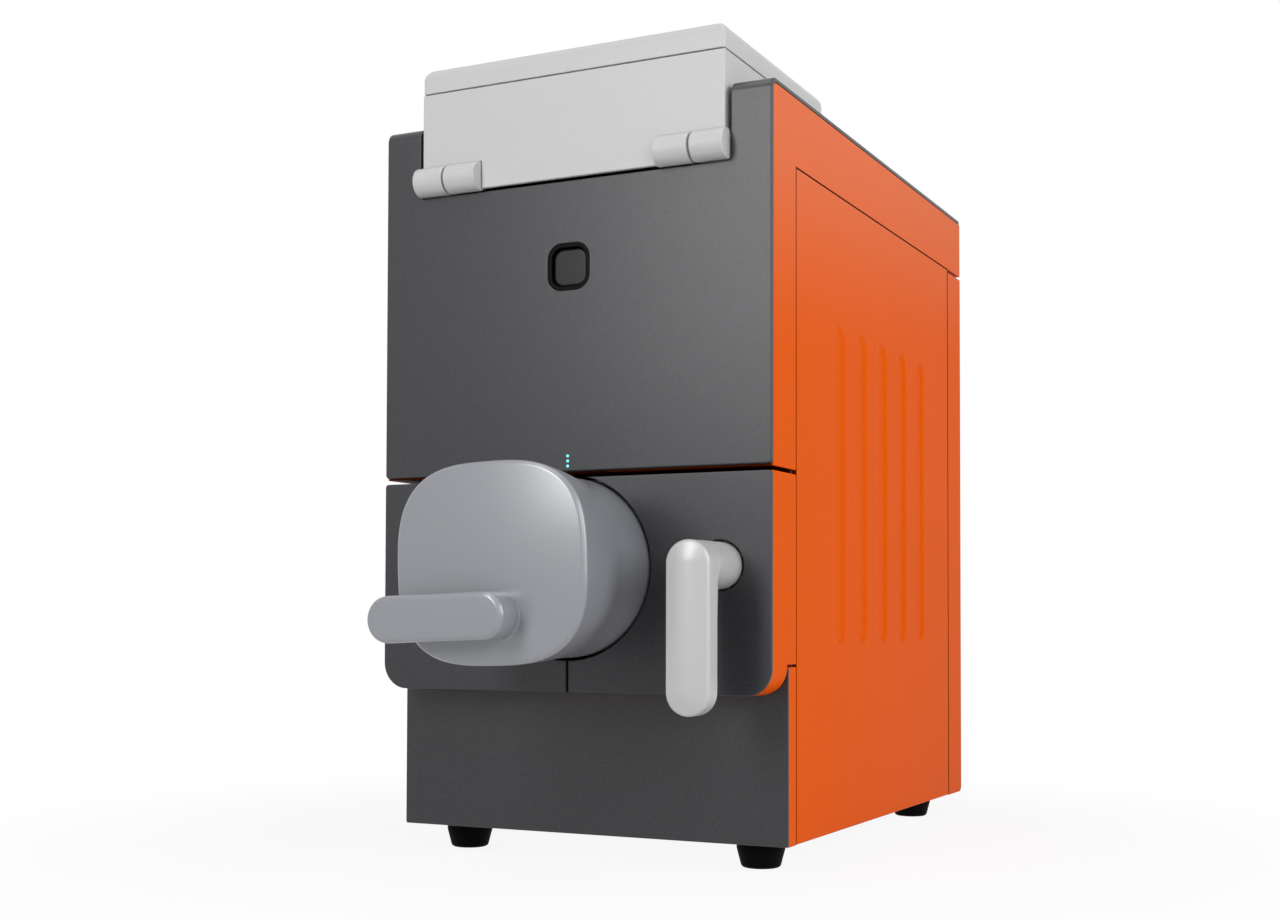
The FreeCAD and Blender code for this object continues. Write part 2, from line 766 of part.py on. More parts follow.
def make_chassis():
    base = prism("XY", "foot_height", BASE_Z, rectangle(f"-{SHELL_X}", SHELL_X, "front_depth", REAR_Y))
    subpart("base_plate", base)
    frame_top = f"{BAND_Z} + frame_lap"
    for label, inner, outer in (("side_frame_left", f"-{SHELL_X}", f"-{INNER_X}"),
                                ("side_frame_right", INNER_X, SHELL_X)):
        frame = prism("YZ", inner, outer, rectangle("front_depth", REAR_Y, BASE_Z, frame_top))
        # Cable holes: one low, and two high behind the column
        holes = [circle("front_depth + window_pitch", f"{BASE_Z} + window_radius * 2", "window_radius")]
        for step in (1, 2):
            holes.append(circle(f"{REAR_Y} - window_radius - frame_wall * 4",
                                f"{SHELF_Z} + {step} * window_pitch", "window_radius"))
        carve(frame, "YZ", f"{inner} - 1", f"{outer} + 1", *holes)
        subpart(label, frame)
    low = f"{SHELF_Z} - shelf_flange"
    under = f"{SHELF_Z} - shelf_sheet"
    web = f"{INNER_X} - shelf_sheet"
    shelf = prism("XZ", "front_depth", REAR_Y, polygon(
        (f"-{INNER_X}", low), (f"-({web})", low), (f"-({web})", under), (web, under), (web, low),
        (INNER_X, low), (INNER_X, SHELF_Z), (f"-{INNER_X}", SHELF_Z)))
    subpart("chassis_shelf", shelf)
    deck = prism("XY", f"{DECK_Z} - deck_sheet", DECK_Z,
                 rectangle(f"-{INNER_X}", INNER_X, "cover_sheet + slide_gap", REAR_Y),
                 circle("0", COLUMN_Y, "gun_radius + gun_clearance"))
    subpart("top_deck", deck)
    outer = f"{NOTCH_X} + well_wall"
    back = f"{NOTCH_Y} + well_wall"
    front = "cover_bend + slide_gap"
    well = prism("XY", DECK_Z, f"{TOP_Z} - cover_sheet", polygon(
        (f"-({outer})", front), (f"-{NOTCH_X}", front), (f"-{NOTCH_X}", NOTCH_Y),
        (NOTCH_X, NOTCH_Y), (NOTCH_X, front), (outer, front),
        (outer, back), (f"-({outer})", back)))
    add(well, "XY", DECK_Z, f"{LID_Z} - slide_gap",
        rectangle(f"-{NOTCH_X}", NOTCH_X, f"{NOTCH_Y} - well_ledge", NOTCH_Y))
    subpart("lid_well", well)


def make_feet():
    feet = []
    for side in ("-", ""):
        for back in ("foot_front", "body_depth - foot_inset"):
            feet.append(turned(
                f"{side}foot_spread", back, ("0", "0"), ("foot_bottom", "0", "foot_round"),
                ("foot_top", "foot_height - foot_rim"), ("foot_top", "foot_height"), ("0", "foot_height")))
    subpart("feet", group(*feet))


# Lid: a box shell, its cap, and hinge barrels in front


def make_lid():
    front = "-lid_front"
    back = "lid_length - lid_front"
    wall = "lid_wall"
    shell = prism("XY", LID_Z, SPLIT_Z, rectangle("-lid_half_width", "lid_half_width", front, back))
    carve(shell, "XY", f"{LID_Z} - 1", f"{SPLIT_Z} - {wall}", rectangle(
        f"-lid_half_width + {wall}", f"lid_half_width - {wall}", f"{front} + {wall}", f"{back} - {wall}"))
    window_top = f"{HINGE_Z} + hinge_radius + window_gap"
    window_back = "hinge_radius + leg_thick - hinge_reach"
    for side in ("-", ""):
        inner = f"{side}({HINGE_INNER} - window_gap)"
        outer = f"{side}(lid_half_width + 1)"
        corners = ((inner, f"{LID_Z} - 1"), (outer, f"{LID_Z} - 1"), (outer, window_top), (inner, window_top))
        carve(shell, "XZ", f"{front} - 1", window_back, polygon(*corners))
    subpart("lid_shell", shell)
    cap = prism("XY", f"{SPLIT_Z} + lid_seam", LID_TOP,
                rectangle("-lid_half_width", "lid_half_width", front, back, "lid_wall / 2"))
    add(cap, "XY", SPLIT_Z, f"{SPLIT_Z} + lid_seam", rectangle(
        f"-lid_half_width + {wall}", f"lid_half_width - {wall}", f"{front} + {wall}", f"{back} - {wall}"))
    top = number(LID_TOP)
    soften(cap, "lid_round", lambda edge: edge.BoundBox.ZMin > top - 0.01)
    subpart("lid_cap", cap)


def make_hinges():
    lid_side, body_side, pins = [], [], []
    hub = ("-hinge_reach", HINGE_Z)
    bore = "hinge_pin + running_gap"
    for side in (-1, 1):
        # Bars run along +X, so on the left the outer end comes first.
        def span(near, far):
            return (near, far) if side > 0 else (f"-({far})", f"-({near})")

        def bar(radius, near, far):
            start, stop = span(near, far)
            return rod("X", radius, f"({stop}) - ({start})", start, *hub)

        middle = HINGE_MIDDLE
        outer_start = f"{HINGE_MIDDLE} + hinge_split"
        barrel = bar("hinge_radius", HINGE_INNER, middle)
        start, stop = span(f"{HINGE_INNER} + hinge_end", middle)
        leaf_front = "lid_wall - lid_front"
        leaf = box(start, stop, leaf_front, f"{leaf_front} + leaf_thick", HINGE_Z, f"{HINGE_Z} + leaf_height")
        lid_side.append(cut(fuse(barrel, leaf), bar(bore, f"{HINGE_INNER} + hinge_end", f"{middle} + 1")))
        barrel = bar("hinge_radius", outer_start, HINGE_OUTER)
        start, stop = span(f"{outer_start} + hinge_end", HINGE_OUTER)
        leg_front = "cover_sheet + cover_gap + slide_gap"
        leg = box(start, stop, leg_front, f"{leg_front} + leg_thick", DECK_Z, HINGE_Z)
        leg_bore = bar(bore, f"{outer_start} - 1", f"{HINGE_OUTER} - hinge_end")
        body_side.append(cut(fuse(barrel, leg), leg_bore))
        pin_end = f"{HINGE_OUTER} - hinge_end - running_gap"
        pins.append(bar("hinge_pin", f"{HINGE_INNER} + 2 * hinge_end", pin_end))
    subpart("lid_knuckles", group(*lid_side))
    subpart("body_knuckles", group(*body_side))
    subpart("hinge_pins", group(*pins))


# Door drum: lofted from a round root to a soft-cornered square front with a domed face


def soft_square(back, blend):
    """Eight arcs at one depth, four corners and four crowned sides. A blend of 0 gives the
    root's circle and 1 the full soft square of the front."""
    root = number("drum_base")

    def blended(name):
        return root + (number(name) - root) * blend

    wide = blended("drum_half_width")
    tall = blended("drum_half_height")
    corner = blended("drum_corner")
    # The corners' centres are pulled in, so that each side bows out between two corners.
    pull = 1 - number("side_crown") * blend
    centre_z = number(DRUM_Z)
    half_arc = math.radians(number("corner_arc"))
    crowns, corners = [], []
    for turn in range(4):
        heading = math.radians(90 * turn)
        diagonal = heading + math.radians(45)
        crowns.append(Vector(wide * math.cos(heading), back, centre_z + tall * math.sin(heading)))
        centre = Vector(math.copysign((wide - corner) * pull, math.cos(diagonal)), back,
                        centre_z + math.copysign((tall - corner) * pull, math.sin(diagonal)))
        corners.append([centre + Vector(corner * math.cos(angle), 0, corner * math.sin(angle))
                        for angle in (diagonal - half_arc, diagonal, diagonal + half_arc)])
    edges = []
    for turn in range(4):
        start, middle, stop = corners[turn]
        edges.append(Part.Arc(start, middle, stop).toShape())
        following = (turn + 1) % 4
        edges.append(Part.Arc(stop, crowns[following], corners[following][0]).toShape())
    return Part.Wire(edges)


def drum_solid():
    front = -number("drum_front")
    root = number("drum_root")
    centre_z = number(DRUM_Z)
    neck = soft_square(-number("drum_neck"), 0)
    waist = soft_square(-number("drum_waist"), number("waist_blend"))
    face = soft_square(front - number("blank_spare"), 1)
    blank = Part.makeLoft([neck, waist, face], True, False)
    blank = blank.fuse(Part.makeLoft([soft_square(root, 0), neck], True, True))
    dome = number("drum_dome")
    ball = Part.makeSphere(dome, Vector(0, front + dome, centre_z))
    rounded = blank.common(ball).removeSplitter()
    bore_front = front + number("drum_skin")
    rim = [edge for edge in rounded.Edges if edge.BoundBox.YMax < bore_front]
    rounded = rounded.makeFillet(number("drum_rim"), rim)
    bore = Part.makeCylinder(number("drum_bore"), root - bore_front + 1,
                             Vector(0, bore_front, centre_z), Vector(0, 1, 0))
    return rounded.cut(bore)


def make_door():
    drum = doc.addObject("Part::Feature", "drum")
    drum.Shape = drum_solid()
    subpart("door_drum", drum)
    blank = doc.addObject("Part::Feature", "drum_blank")
    blank.Shape = drum_solid()
    blank.Placement = Placement()
    paddle_back = "-grip_reach + grip_thick"
    # The free end hangs a little lower than the end on the neck.
    ends = ("-grip_left + grip_round", f"{GRIP_Z} - grip_fall"), ("grip_right - grip_round", GRIP_Z)
    paddle = prism("XZ", "-grip_reach", paddle_back, slot(*ends, "grip_round"))
    front = number("-grip_reach")
    soften(paddle, "grip_edge", lambda edge: edge.BoundBox.YMax < front + 0.01)
    neck = new_body()
    # Half of the neck's outline, drawn about its own axis: straight, then flaring onto the drum.
    neck_top = "grip_reach - grip_thick - drum_front + neck_sink"
    profile = outline(neck, "XZ", "0", [polygon(
        ("0", "0"), ("grip_flare", "0"), ("grip_flare", "neck_foot"),
        ("grip_round", "neck_blend", "grip_flare"), ("grip_round", neck_top), ("0", neck_top))])
    turning = neck.newObject("PartDesign::Revolution", "turning")
    turning.Profile = profile
    turning.ReferenceAxis = (profile, ["V_Axis"])
    turning.Angle = 360
    neck.Placement = Placement(Vector(), Rotation(Vector(1, 0, 0), 90))
    bind(neck, Placement__Base__x="grip_right - grip_round", Placement__Base__z=GRIP_Z,
         Placement__Base__y="-drum_front + neck_sink")
    subpart("door_handle", cut(fuse(paddle, neck), blank))
    flange = prism("XZ", "drum_root", FLANGE_Y, circle("0", DRUM_Z, "drum_base"))
    carve(flange, "XZ", f"{FLANGE_Y} - seal_depth", f"{FLANGE_Y} + 1",
          circle("0", DRUM_Z, f"{SEAL_RADIUS} + seal_section"),
          circle("0", DRUM_Z, f"{SEAL_RADIUS} - seal_section"))
    subpart("door_flange", flange)
    seal = doc.addObject("Part::Torus", "ring")
    seal.Placement = Placement(Vector(), TURNS["Y"])
    bind(seal, Radius1=SEAL_RADIUS, Radius2="seal_section", Placement__Base__z=DRUM_Z,
         Placement__Base__y=f"{FLANGE_Y} - seal_depth + seal_section")
    subpart("door_seal", seal)
    rods, bushes = [], []
    bush_front = f"{CHAMBER_Y} + bush_inset"
    for side in ("-", ""):
        across = f"{side}{ROD_X}"
        rods.append(rod("Y", "rod_radius", "rod_length", across, FLANGE_Y, DRUM_Z))
        bush = rod("Y", "bush_radius", "bush_length", across, bush_front, DRUM_Z)
        hole = rod("Y", "rod_radius + running_gap", "bush_length + 2", across, f"{bush_front} - 1", DRUM_Z)
        bushes.append(cut(bush, hole))
    subpart("guide_rods", group(*rods))
    subpart("guide_bushes", group(*bushes))


# Specimen stage, carried by the door: bracket, two carriages, cup and stub


def make_stage():
    upright = f"{FLANGE_Y} + stage_upright"
    far_end = f"{FLANGE_Y} + stage_length"
    plate_top = f"{STAGE_Z} + stage_plate"
    bracket = prism("YZ", "-stage_half_width", "stage_half_width", polygon(
        (FLANGE_Y, STAGE_Z), (far_end, STAGE_Z), (far_end, plate_top),
        (upright, plate_top), (upright, f"{DRUM_Z} + stage_rise"), (FLANGE_Y, f"{DRUM_Z} + stage_rise")))
    subpart("stage_bracket", bracket)
    middle = COLUMN_Y
    carriage = prism("XY", CARRIAGE_Z, f"{CARRIAGE_Z} + carriage_thick", rectangle(
        "-carriage_width / 2", "carriage_width / 2",
        f"{middle} - carriage_length / 2", f"{middle} + carriage_length / 2", "cup_corner"))
    subpart("stage_y_carriage", carriage)
    cross = prism("XY", CROSS_Z, CUP_Z, rectangle(
        "-cross_width / 2", "cross_width / 2",
        f"{middle} - cross_length / 2", f"{middle} + cross_length / 2", "cup_corner"))
    subpart("stage_x_carriage", cross)
    hole = "pin_radius + running_gap"
    cup_top = f"{CUP_Z} + cup_height"
    hole_bottom = f"{cup_top} - pin_length - 1"
    cup = turned("0", middle, ("0", CUP_Z), ("cup_radius", CUP_Z), ("cup_radius", cup_top, "cup_corner"),
                 (hole, cup_top), (hole, hole_bottom), ("0", hole_bottom))
    subpart("sample_cup", cup)
    stub = turned("0", middle, ("0", f"{cup_top} - pin_length"), ("pin_radius", f"{cup_top} - pin_length"),
                  ("pin_radius", cup_top), ("stub_radius", cup_top),
                  ("stub_radius", f"{cup_top} + stub_thick"), ("0", f"{cup_top} + stub_thick"))
    subpart("sample_stub", stub)


# Vacuum chamber: a milled block with a round bore, blind sleeves for the rods, and its mounts


def make_chamber():
    back = CHAMBER_END
    body = prism("XY", CHAMBER_Z, CHAMBER_TOP, rectangle(
        "-chamber_half_width", "chamber_half_width", CHAMBER_Y, back, "chamber_corner"))
    sleeve_end = f"{back} + sleeve_length"
    left, right = [(f"-{ROD_X}", DRUM_Z), (ROD_X, DRUM_Z)]
    sleeves = [circle(*centre, "sleeve_radius") for centre in (left, right)]
    add(body, "XZ", f"{back} - 1", sleeve_end, *sleeves)
    carve(body, "XZ", f"{CHAMBER_Y} - 1", f"{CHAMBER_Y} + chamber_depth",
          circle("0", DRUM_Z, "chamber_bore"))
    for centre in (left, right):
        carve(body, "XZ", f"{CHAMBER_Y} + bush_inset", f"{CHAMBER_Y} + bush_inset + bush_length",
              circle(*centre, "bush_radius"))
        carve(body, "XZ", f"{CHAMBER_Y} + chamber_depth - 1", f"{sleeve_end} - sleeve_wall",
              circle(*centre, "sleeve_bore"))
    carve(body, "XZ", f"{CHAMBER_Y} + chamber_depth - 1", f"{back} + 1", circle("0", DRUM_Z, "port_radius"))
    carve(body, "XY", LENS_Z, f"{CHAMBER_TOP} + 1", circle("0", COLUMN_Y, "lens_radius + slide_gap"))
    subpart("vacuum_chamber", body)
    mounts = []
    for side in ("-", ""):
        for back_row in (f"{CHAMBER_Y} + isolator_radius + chamber_corner",
                         f"{back} - isolator_radius - chamber_corner"):
            mounts.append(rod("Z", "isolator_radius", "isolator_height",
                              f"{side}isolator_spread", back_row, SHELF_Z))
    subpart("chamber_mounts", group(*mounts))


# Electron column on the chamber, up to the gun under the lid


def make_column():
    middle = ("0", COLUMN_Y)
    seat = f"{CHAMBER_TOP} + flange_height"
    lens = turned(*middle, ("lens_bore", LENS_Z), ("lens_tip", LENS_Z),
                  ("lens_radius", f"{LENS_Z} + lens_taper"), ("lens_radius", CHAMBER_TOP),
                  ("column_flange", CHAMBER_TOP),
                  ("column_flange", seat), ("lens_bore", seat))
    subpart("objective_lens", lens)
    detector = turned(*middle, ("lens_bore", f"{LENS_Z} - detector_thick"),
                      ("detector_radius", f"{LENS_Z} - detector_thick"), ("detector_radius", LENS_Z),
                      ("lens_bore", LENS_Z))
    subpart("electron_detector", detector)
    tube = turned(*middle, ("lens_bore", seat), ("column_flange", seat),
                  ("column_flange", f"{seat} + flange_height"), ("column_radius", f"{seat} + flange_height"),
                  ("column_radius", GUN_Z), ("lens_bore", GUN_Z))
    subpart("column_tube", tube)
    shoulder = f"{GUN_Z} + gun_height"
    gun = turned(*middle, ("0", GUN_Z), ("gun_radius", GUN_Z), ("gun_radius", shoulder, "cup_corner"),
                 ("0", shoulder))
    subpart("gun_housing", gun)
    gun_top = f"{shoulder} + gun_cap_height"
    cap = turned(*middle, ("0", shoulder), ("gun_cap_radius", shoulder),
                 ("gun_cap_radius", gun_top, "chamber_corner"), ("0", gun_top))
    subpart("gun_cap", cap)


# Turning lever on the right: paddle and boss, shaft, bearing block and the valve it turns


def make_lever():
    hub = (LEVER_X, LEVER_Z)
    front = "-lever_reach"
    back = "-lever_reach + lever_thick"
    half = "lever_half_width"
    handle = prism("XZ", front, back, slot((LEVER_X, f"{LEVER_Z} - lever_length"), hub, half))
    face = number(front)
    soften(handle, "lever_edge", lambda edge: edge.BoundBox.YMax < face + 0.01)
    add(handle, "XZ", back, "lever_root", circle(*hub, "lever_boss"))
    subpart("lever_handle", handle)
    subpart("lever_shaft", rod("Y", "shaft_radius", "shaft_length", LEVER_X, "lever_root", LEVER_Z))
    bore = circle(*hub, "shaft_radius + running_gap")
    wide = "shaft_radius * 2"
    shape = rectangle(f"{LEVER_X} - {wide}", INNER_X, f"{LEVER_Z} - {wide}", f"{LEVER_Z} + {wide}",
                      "shaft_radius / 2")
    bearing = prism("XZ", CHAMBER_Y, f"{CHAMBER_Y} + lever_block", shape, bore)
    subpart("lever_bearing", bearing)
    shaft_end = "lever_root + shaft_length"
    valve_front = f"{shaft_end} - valve_lap"
    valve = prism("XZ", valve_front, f"{valve_front} + valve_length", shape)
    carve(valve, "XZ", f"{valve_front} - 1", f"{shaft_end} + slide_gap", bore)
    subpart("vent_valve", valve)


# Power button in its recessed frame, and the three status lights


def square(half, radius):
    return rectangle(f"-({half})", half, f"{BUTTON_Z} - ({half})", f"{BUTTON_Z} + ({half})", radius)


def make_button():
    outer = "bezel_width / 2 - bezel_fit"
    inner = "button_width / 2 + button_clearance"
    bezel = prism("XZ", "bezel_recess", "bezel_depth", square(outer, "bezel_corner"))
    add(bezel, "XZ", "cover_sheet", "cover_sheet + cover_edge",
        square(f"{outer} + bezel_flange", "bezel_corner"))
    carve(bezel, "XZ", "bezel_recess - 1", "bezel_floor", square(inner, "button_corner"))
    subpart("button_bezel", bezel)
    button = prism("XZ", "button_recess", "button_recess + button_thick",
                   square("button_width / 2", "button_corner"))
    subpart("power_button", button)
    board_z = f"{COVER_Z} + housing_wall"
    lights_top = f"{LIGHT_Z} + light_pitch + light_radius"
    board = box("-light_board / 2", "light_board / 2", "cover_sheet", "cover_sheet + board_thick",
                board_z, f"{lights_top} + board_thick")
    lenses = [rod("Y", "light_radius - running_gap", "cover_sheet", "0", "0",
                  f"{LIGHT_Z} + {step} * light_pitch") for step in (-1, 0, 1)]
    subpart("status_lights", fuse(board, *lenses))


# Pumps, supplies and the main board


def make_pumps():
    middle_z = f"({SHELF_Z} + {TURBO_TOP}) / 2"
    neck = "turbo_radius - fin_depth"
    fins = []
    for step in range(4):
        low = f"{middle_z} + {step - 2} * fin_pitch"
        fins += [("turbo_radius", low), (neck, low), (neck, f"{low} + fin_pitch / 2"),
                 ("turbo_radius", f"{low} + fin_pitch / 2")]
    flange_z = f"{TURBO_TOP} - flange_height"
    turbo = turned("0", TURBO_Y, ("0", SHELF_Z), ("turbo_radius", SHELF_Z), *fins,
                   ("turbo_radius", flange_z), ("turbo_flange", flange_z),
                   ("turbo_flange", TURBO_TOP), ("0", TURBO_TOP))
    subpart("turbo_pump", turbo)
    back = CHAMBER_END
    duct_top = f"{TURBO_TOP} + duct_rise"
    duct = prism("YZ", "-duct_half_width", "duct_half_width", polygon(
        (back, f"{DRUM_Z} - port_radius - fin_depth"),
        (f"{back} + duct_length", f"{DRUM_Z} - port_radius - fin_depth"),
        (f"{back} + duct_length", TURBO_TOP, "chamber_corner"),
        (f"{TURBO_Y} + duct_half_width", TURBO_TOP),
        (f"{TURBO_Y} + duct_half_width", duct_top, "chamber_corner"),
        (back, duct_top, "chamber_corner")))
    subpart("vacuum_duct", duct)
    fin_box = "pump_height / 2"
    axis_z = f"({BASE_Z} + {fin_box} + fin_depth)"
    motor = rod("Y", "pump_motor", "pump_length", "0", "pump_front", axis_z)
    heads = [box("-pump_half_width", "pump_half_width", f"pump_front + {step} * (pump_length - pump_motor)",
                 f"pump_front + {step} * (pump_length - pump_motor) + pump_motor", BASE_Z,
                 f"{BASE_Z} + pump_height + 2 * fin_depth") for step in (0, 1)]
    subpart("backing_pump", fuse(motor, *heads))


def finned_case(label, side, height):
    """A supply case on the base plate, with cooling fins cut along its top."""
    near = f"{INNER_X} - supply_inset"
    far = f"{near} - supply_width"
    left, right = (far, near) if side > 0 else (f"-({near})", f"-({far})")
    top = f"{BASE_Z} + {height}"
    back = f"{REAR_Y} - supply_gap"
    front = f"{back} - supply_length"
    body = prism("XZ", front, back, rectangle(left, right, BASE_Z, top))
    grooves = []
    for step in range(1, 5):
        start = f"({left}) + {step} * fin_pitch"
        grooves.append(rectangle(start, f"{start} + fin_pitch / 2", f"{top} - 2 * fin_depth", f"{top} + 1"))
    carve(body, "XZ", f"{front} - 1", f"{back} + 1", *grooves)
    subpart(label, body)


def make_board():
    left = f"-{INNER_X} + board_standoff"
    low_edge = f"{SHELF_Z} + board_rise"
    board = prism("YZ", left, f"{left} + board_thick", rectangle(
        "board_front", "board_front + board_length", low_edge, f"{low_edge} + board_height", "fin_depth"))
    inset = "2 * fin_depth"
    rows = [f"board_front + {inset}", "board_front + board_length / 2",
            f"board_front + board_length - {inset}"]
    levels = [f"{low_edge} + {inset}", f"{low_edge} + board_height - {inset}"]
    posts = [circle(back, up, "fin_depth") for back in rows for up in levels]
    add(board, "YZ", f"-{INNER_X}", left, *posts)
    # Where each chip starts, how long it is, where its lower edge is and how tall it is, in pitches
    chips = []
    for start, long, low, tall in ((2, 3, 3, 3), (7, 6, 9, 4), (14, 2, 4, 8)):
        chips.append(rectangle(
            f"board_front + {start} * fin_pitch", f"board_front + {start + long} * fin_pitch",
            f"{low_edge} + {low} * fin_pitch", f"{low_edge} + {low + tall} * fin_pitch"))
    add(board, "YZ", f"{left} + board_thick", f"{left} + board_thick + board_standoff", *chips)
    subpart("main_board", board)


# Rear: fan, mains inlet with its rocker, and the data sockets


def make_fan():
    half = "fan_width / 2"
    front = f"{WALL_Y} - fan_depth"
    frame = prism("XZ", front, WALL_Y, rectangle(
        f"-fan_across - {half}", f"-fan_across + {half}",
        f"{FAN_Z} - {half}", f"{FAN_Z} + {half}", "fan_corner"))
    carve(frame, "XZ", f"{front} + fan_corner", f"{WALL_Y} + 1", circle("-fan_across", FAN_Z, "fan_bore"))
    ring = [circle("-fan_across", FAN_Z, "fan_bore"), circle("-fan_across", FAN_Z, "fan_hub")]
    carve(frame, "XZ", f"{front} - 1", f"{front} + fan_corner + 1", *ring)
    add(frame, "XZ", front, f"{front} + fan_corner / 2", rectangle(
        "-fan_across - fan_bore - 1", "-fan_across + fan_bore + 1",
        f"{FAN_Z} - fan_corner", f"{FAN_Z} + fan_corner"))
    subpart("fan_frame", frame)
    hub_front = f"{front} + fan_corner + slide_gap"
    hub_back = f"{WALL_Y} - slide_gap"
    rotor = new_body()
    hub = extrude(rotor, "PartDesign::Pad", "XZ", hub_front, hub_back, [circle("0", "0", "fan_hub")],
                  ("-fan_across", FAN_Z))
    middle = f"(({hub_front}) + ({hub_back})) / 2"
    near = f"{middle} - blade_slant"
    far = f"{middle} + blade_slant"
    section = polygon(
        ("-fan_across - blade_half_width", near), ("-fan_across + blade_half_width", far),
        ("-fan_across + blade_half_width", f"{far} + board_thick"),
        ("-fan_across - blade_half_width", f"{near} + board_thick"))
    blade_root = f"{FAN_Z} + fan_hub - fin_depth"
    blade = extrude(rotor, "PartDesign::Pad", "XY", blade_root, f"{FAN_Z} + fan_blade", [section])
    ring_of_blades = rotor.newObject("PartDesign::PolarPattern", "blades")
    ring_of_blades.Originals = [blade]
    ring_of_blades.Axis = (hub.Profile[0], ["N_Axis"])
    ring_of_blades.Angle = 360
    bind(ring_of_blades, Occurrences="blade_count")
    rotor.Tip = ring_of_blades
    subpart("fan_rotor", rotor)


def make_sockets():
    half = "inlet_width / 2 - rocker_gap"
    tall = "inlet_tall / 2 - rocker_gap"
    inlet = prism("XZ", "body_depth - inlet_depth", "body_depth", rectangle(
        f"inlet_across - ({half})", f"inlet_across + {half}", f"{INLET_Z} - ({tall})", f"{INLET_Z} + {tall}"))
    socket_z = f"{INLET_Z} - socket_drop"
    carve(inlet, "XZ", "body_depth - socket_depth", "body_depth + 1", rectangle(
        "inlet_across - socket_width / 2", "inlet_across + socket_width / 2",
        f"{socket_z} - socket_tall / 2", f"{socket_z} + socket_tall / 2", "fin_depth"))
    pins = [rectangle(f"inlet_across + {step} * fin_pitch / 2 - socket_pin / 2",
                      f"inlet_across + {step} * fin_pitch / 2 + socket_pin / 2",
                      f"{socket_z} - socket_pin", f"{socket_z} + socket_pin") for step in (-1, 0, 1)]
    add(inlet, "XZ", "body_depth - socket_depth", "body_depth - rear_wall", *pins)
    rocker_z = f"{INLET_Z} + rocker_rise"
    wide = "rocker_width / 2"
    high = "rocker_tall / 2"
    carve(inlet, "XZ", "body_depth - rocker_radius - rocker_gap", "body_depth + 1", rectangle(
        f"inlet_across - {wide} - rocker_gap", f"inlet_across + {wide} + rocker_gap",
        f"{rocker_z} - {high} - rocker_gap", f"{rocker_z} + {high} + rocker_gap"))
    subpart("mains_inlet", inlet)
    # The rocker turns about a line along X. Its two faces meet in a shallow valley.
    heel = "body_depth - rocker_setback - rocker_heel"
    valley = "body_depth - rocker_valley"
    crest = "body_depth - rocker_crest"
    rocker = prism("YZ", f"inlet_across - {wide}", f"inlet_across + {wide}", polygon(
        (heel, f"{rocker_z} - {high} / 3"), (crest, f"{rocker_z} - {high} + rocker_inset"),
        (valley, rocker_z), (crest, f"{rocker_z} + {high} - rocker_inset"),
        (heel, f"{rocker_z} + {high} / 3")))
    subpart("mains_rocker", rocker)
    left = "-ports_across - ports_width / 2 + rocker_gap"
    right = "-ports_across + ports_width / 2 - rocker_gap"
    low = f"{INLET_Z} - ports_tall / 2 + rocker_gap"
    high_edge = f"{INLET_Z} + ports_tall / 2 - rocker_gap"
    ports = prism("XZ", "body_depth - inlet_depth", "body_depth - rocker_gap",
                  rectangle(left, right, low, high_edge))
    for step in (0, 1, 2):
        start = f"{left} + fin_depth + {step} * (ports_width - fin_depth) / 3"
        carve(ports, "XZ", "body_depth - socket_depth", "body_depth + 1", rectangle(
            start, f"{start} + (ports_width - fin_depth) / 3 - 2 * fin_depth",
            f"{low} + fin_depth", f"{high_edge} - fin_depth"))
    subpart("data_sockets", ports)


make_upper_cover()
make_upper_housing()
make_side_panel("side_panel_left", -1)
make_side_panel("side_panel_right", 1)
make_rear_cover()
make_plinth()
make_fascia()
make_chassis()
make_feet()
make_lid()
make_hinges()
make_door()
make_stage()
make_chamber()
make_column()
make_lever()
make_button()
make_pumps()
finned_case("power_supply", -1, "supply_height")
finned_case("high_voltage_supply", 1, "high_voltage_height")
make_board()
make_fan()
make_sockets()
doc.recompute()

for thing in doc.Objects:
    if "Invalid" in thing.State or "Error" in thing.State:
        raise RuntimeError(f"{thing.Label} failed: {thing.State}")
for feature in cuts:
    if feature.Shape.Volume > feature.BaseFeature.Shape.Volume - 0.01:
        raise RuntimeError(f"{feature.Label} in {feature.getParent().Label} cuts nothing")
os.makedirs("parts", exist_ok=True)
for label, thing in subparts.items():
    shape = thing.Shape
    if shape.isNull() or not shape.isValid() or not shape.Solids:
        raise RuntimeError(f"{label} has no sound solid")
    shape.exportStep(f"parts/{label}.step")
    reach = shape.BoundBox
    print(f"{label}: {len(shape.Solids)} solid(s), x {reach.XMin:.1f}..{reach.XMax:.1f}, "
          f"y {reach.YMin:.1f}..{reach.YMax:.1f}, z {reach.ZMin:.1f}..{reach.ZMax:.1f}")
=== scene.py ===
# %% [markdown]
# # A tabletop electron microscope, dressed for a picture
# The construction comes ready from the CAD file: 58 named parts at their real size, and the
# record names the body that moves each. This lesson gives them their looks. The painted sheets,
# the door drum, the lid, the lever and the small fittings are made again here as finer surfaces,
# worked out with numpy, and the pieces inside keep their CAD meshes and get a finish of their own.

# %% Load the fixed frame
import json
import math

import bmesh
import bpy
import numpy as np
from mathutils import Euler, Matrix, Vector
from mathutils.geometry import delaunay_2d_cdt


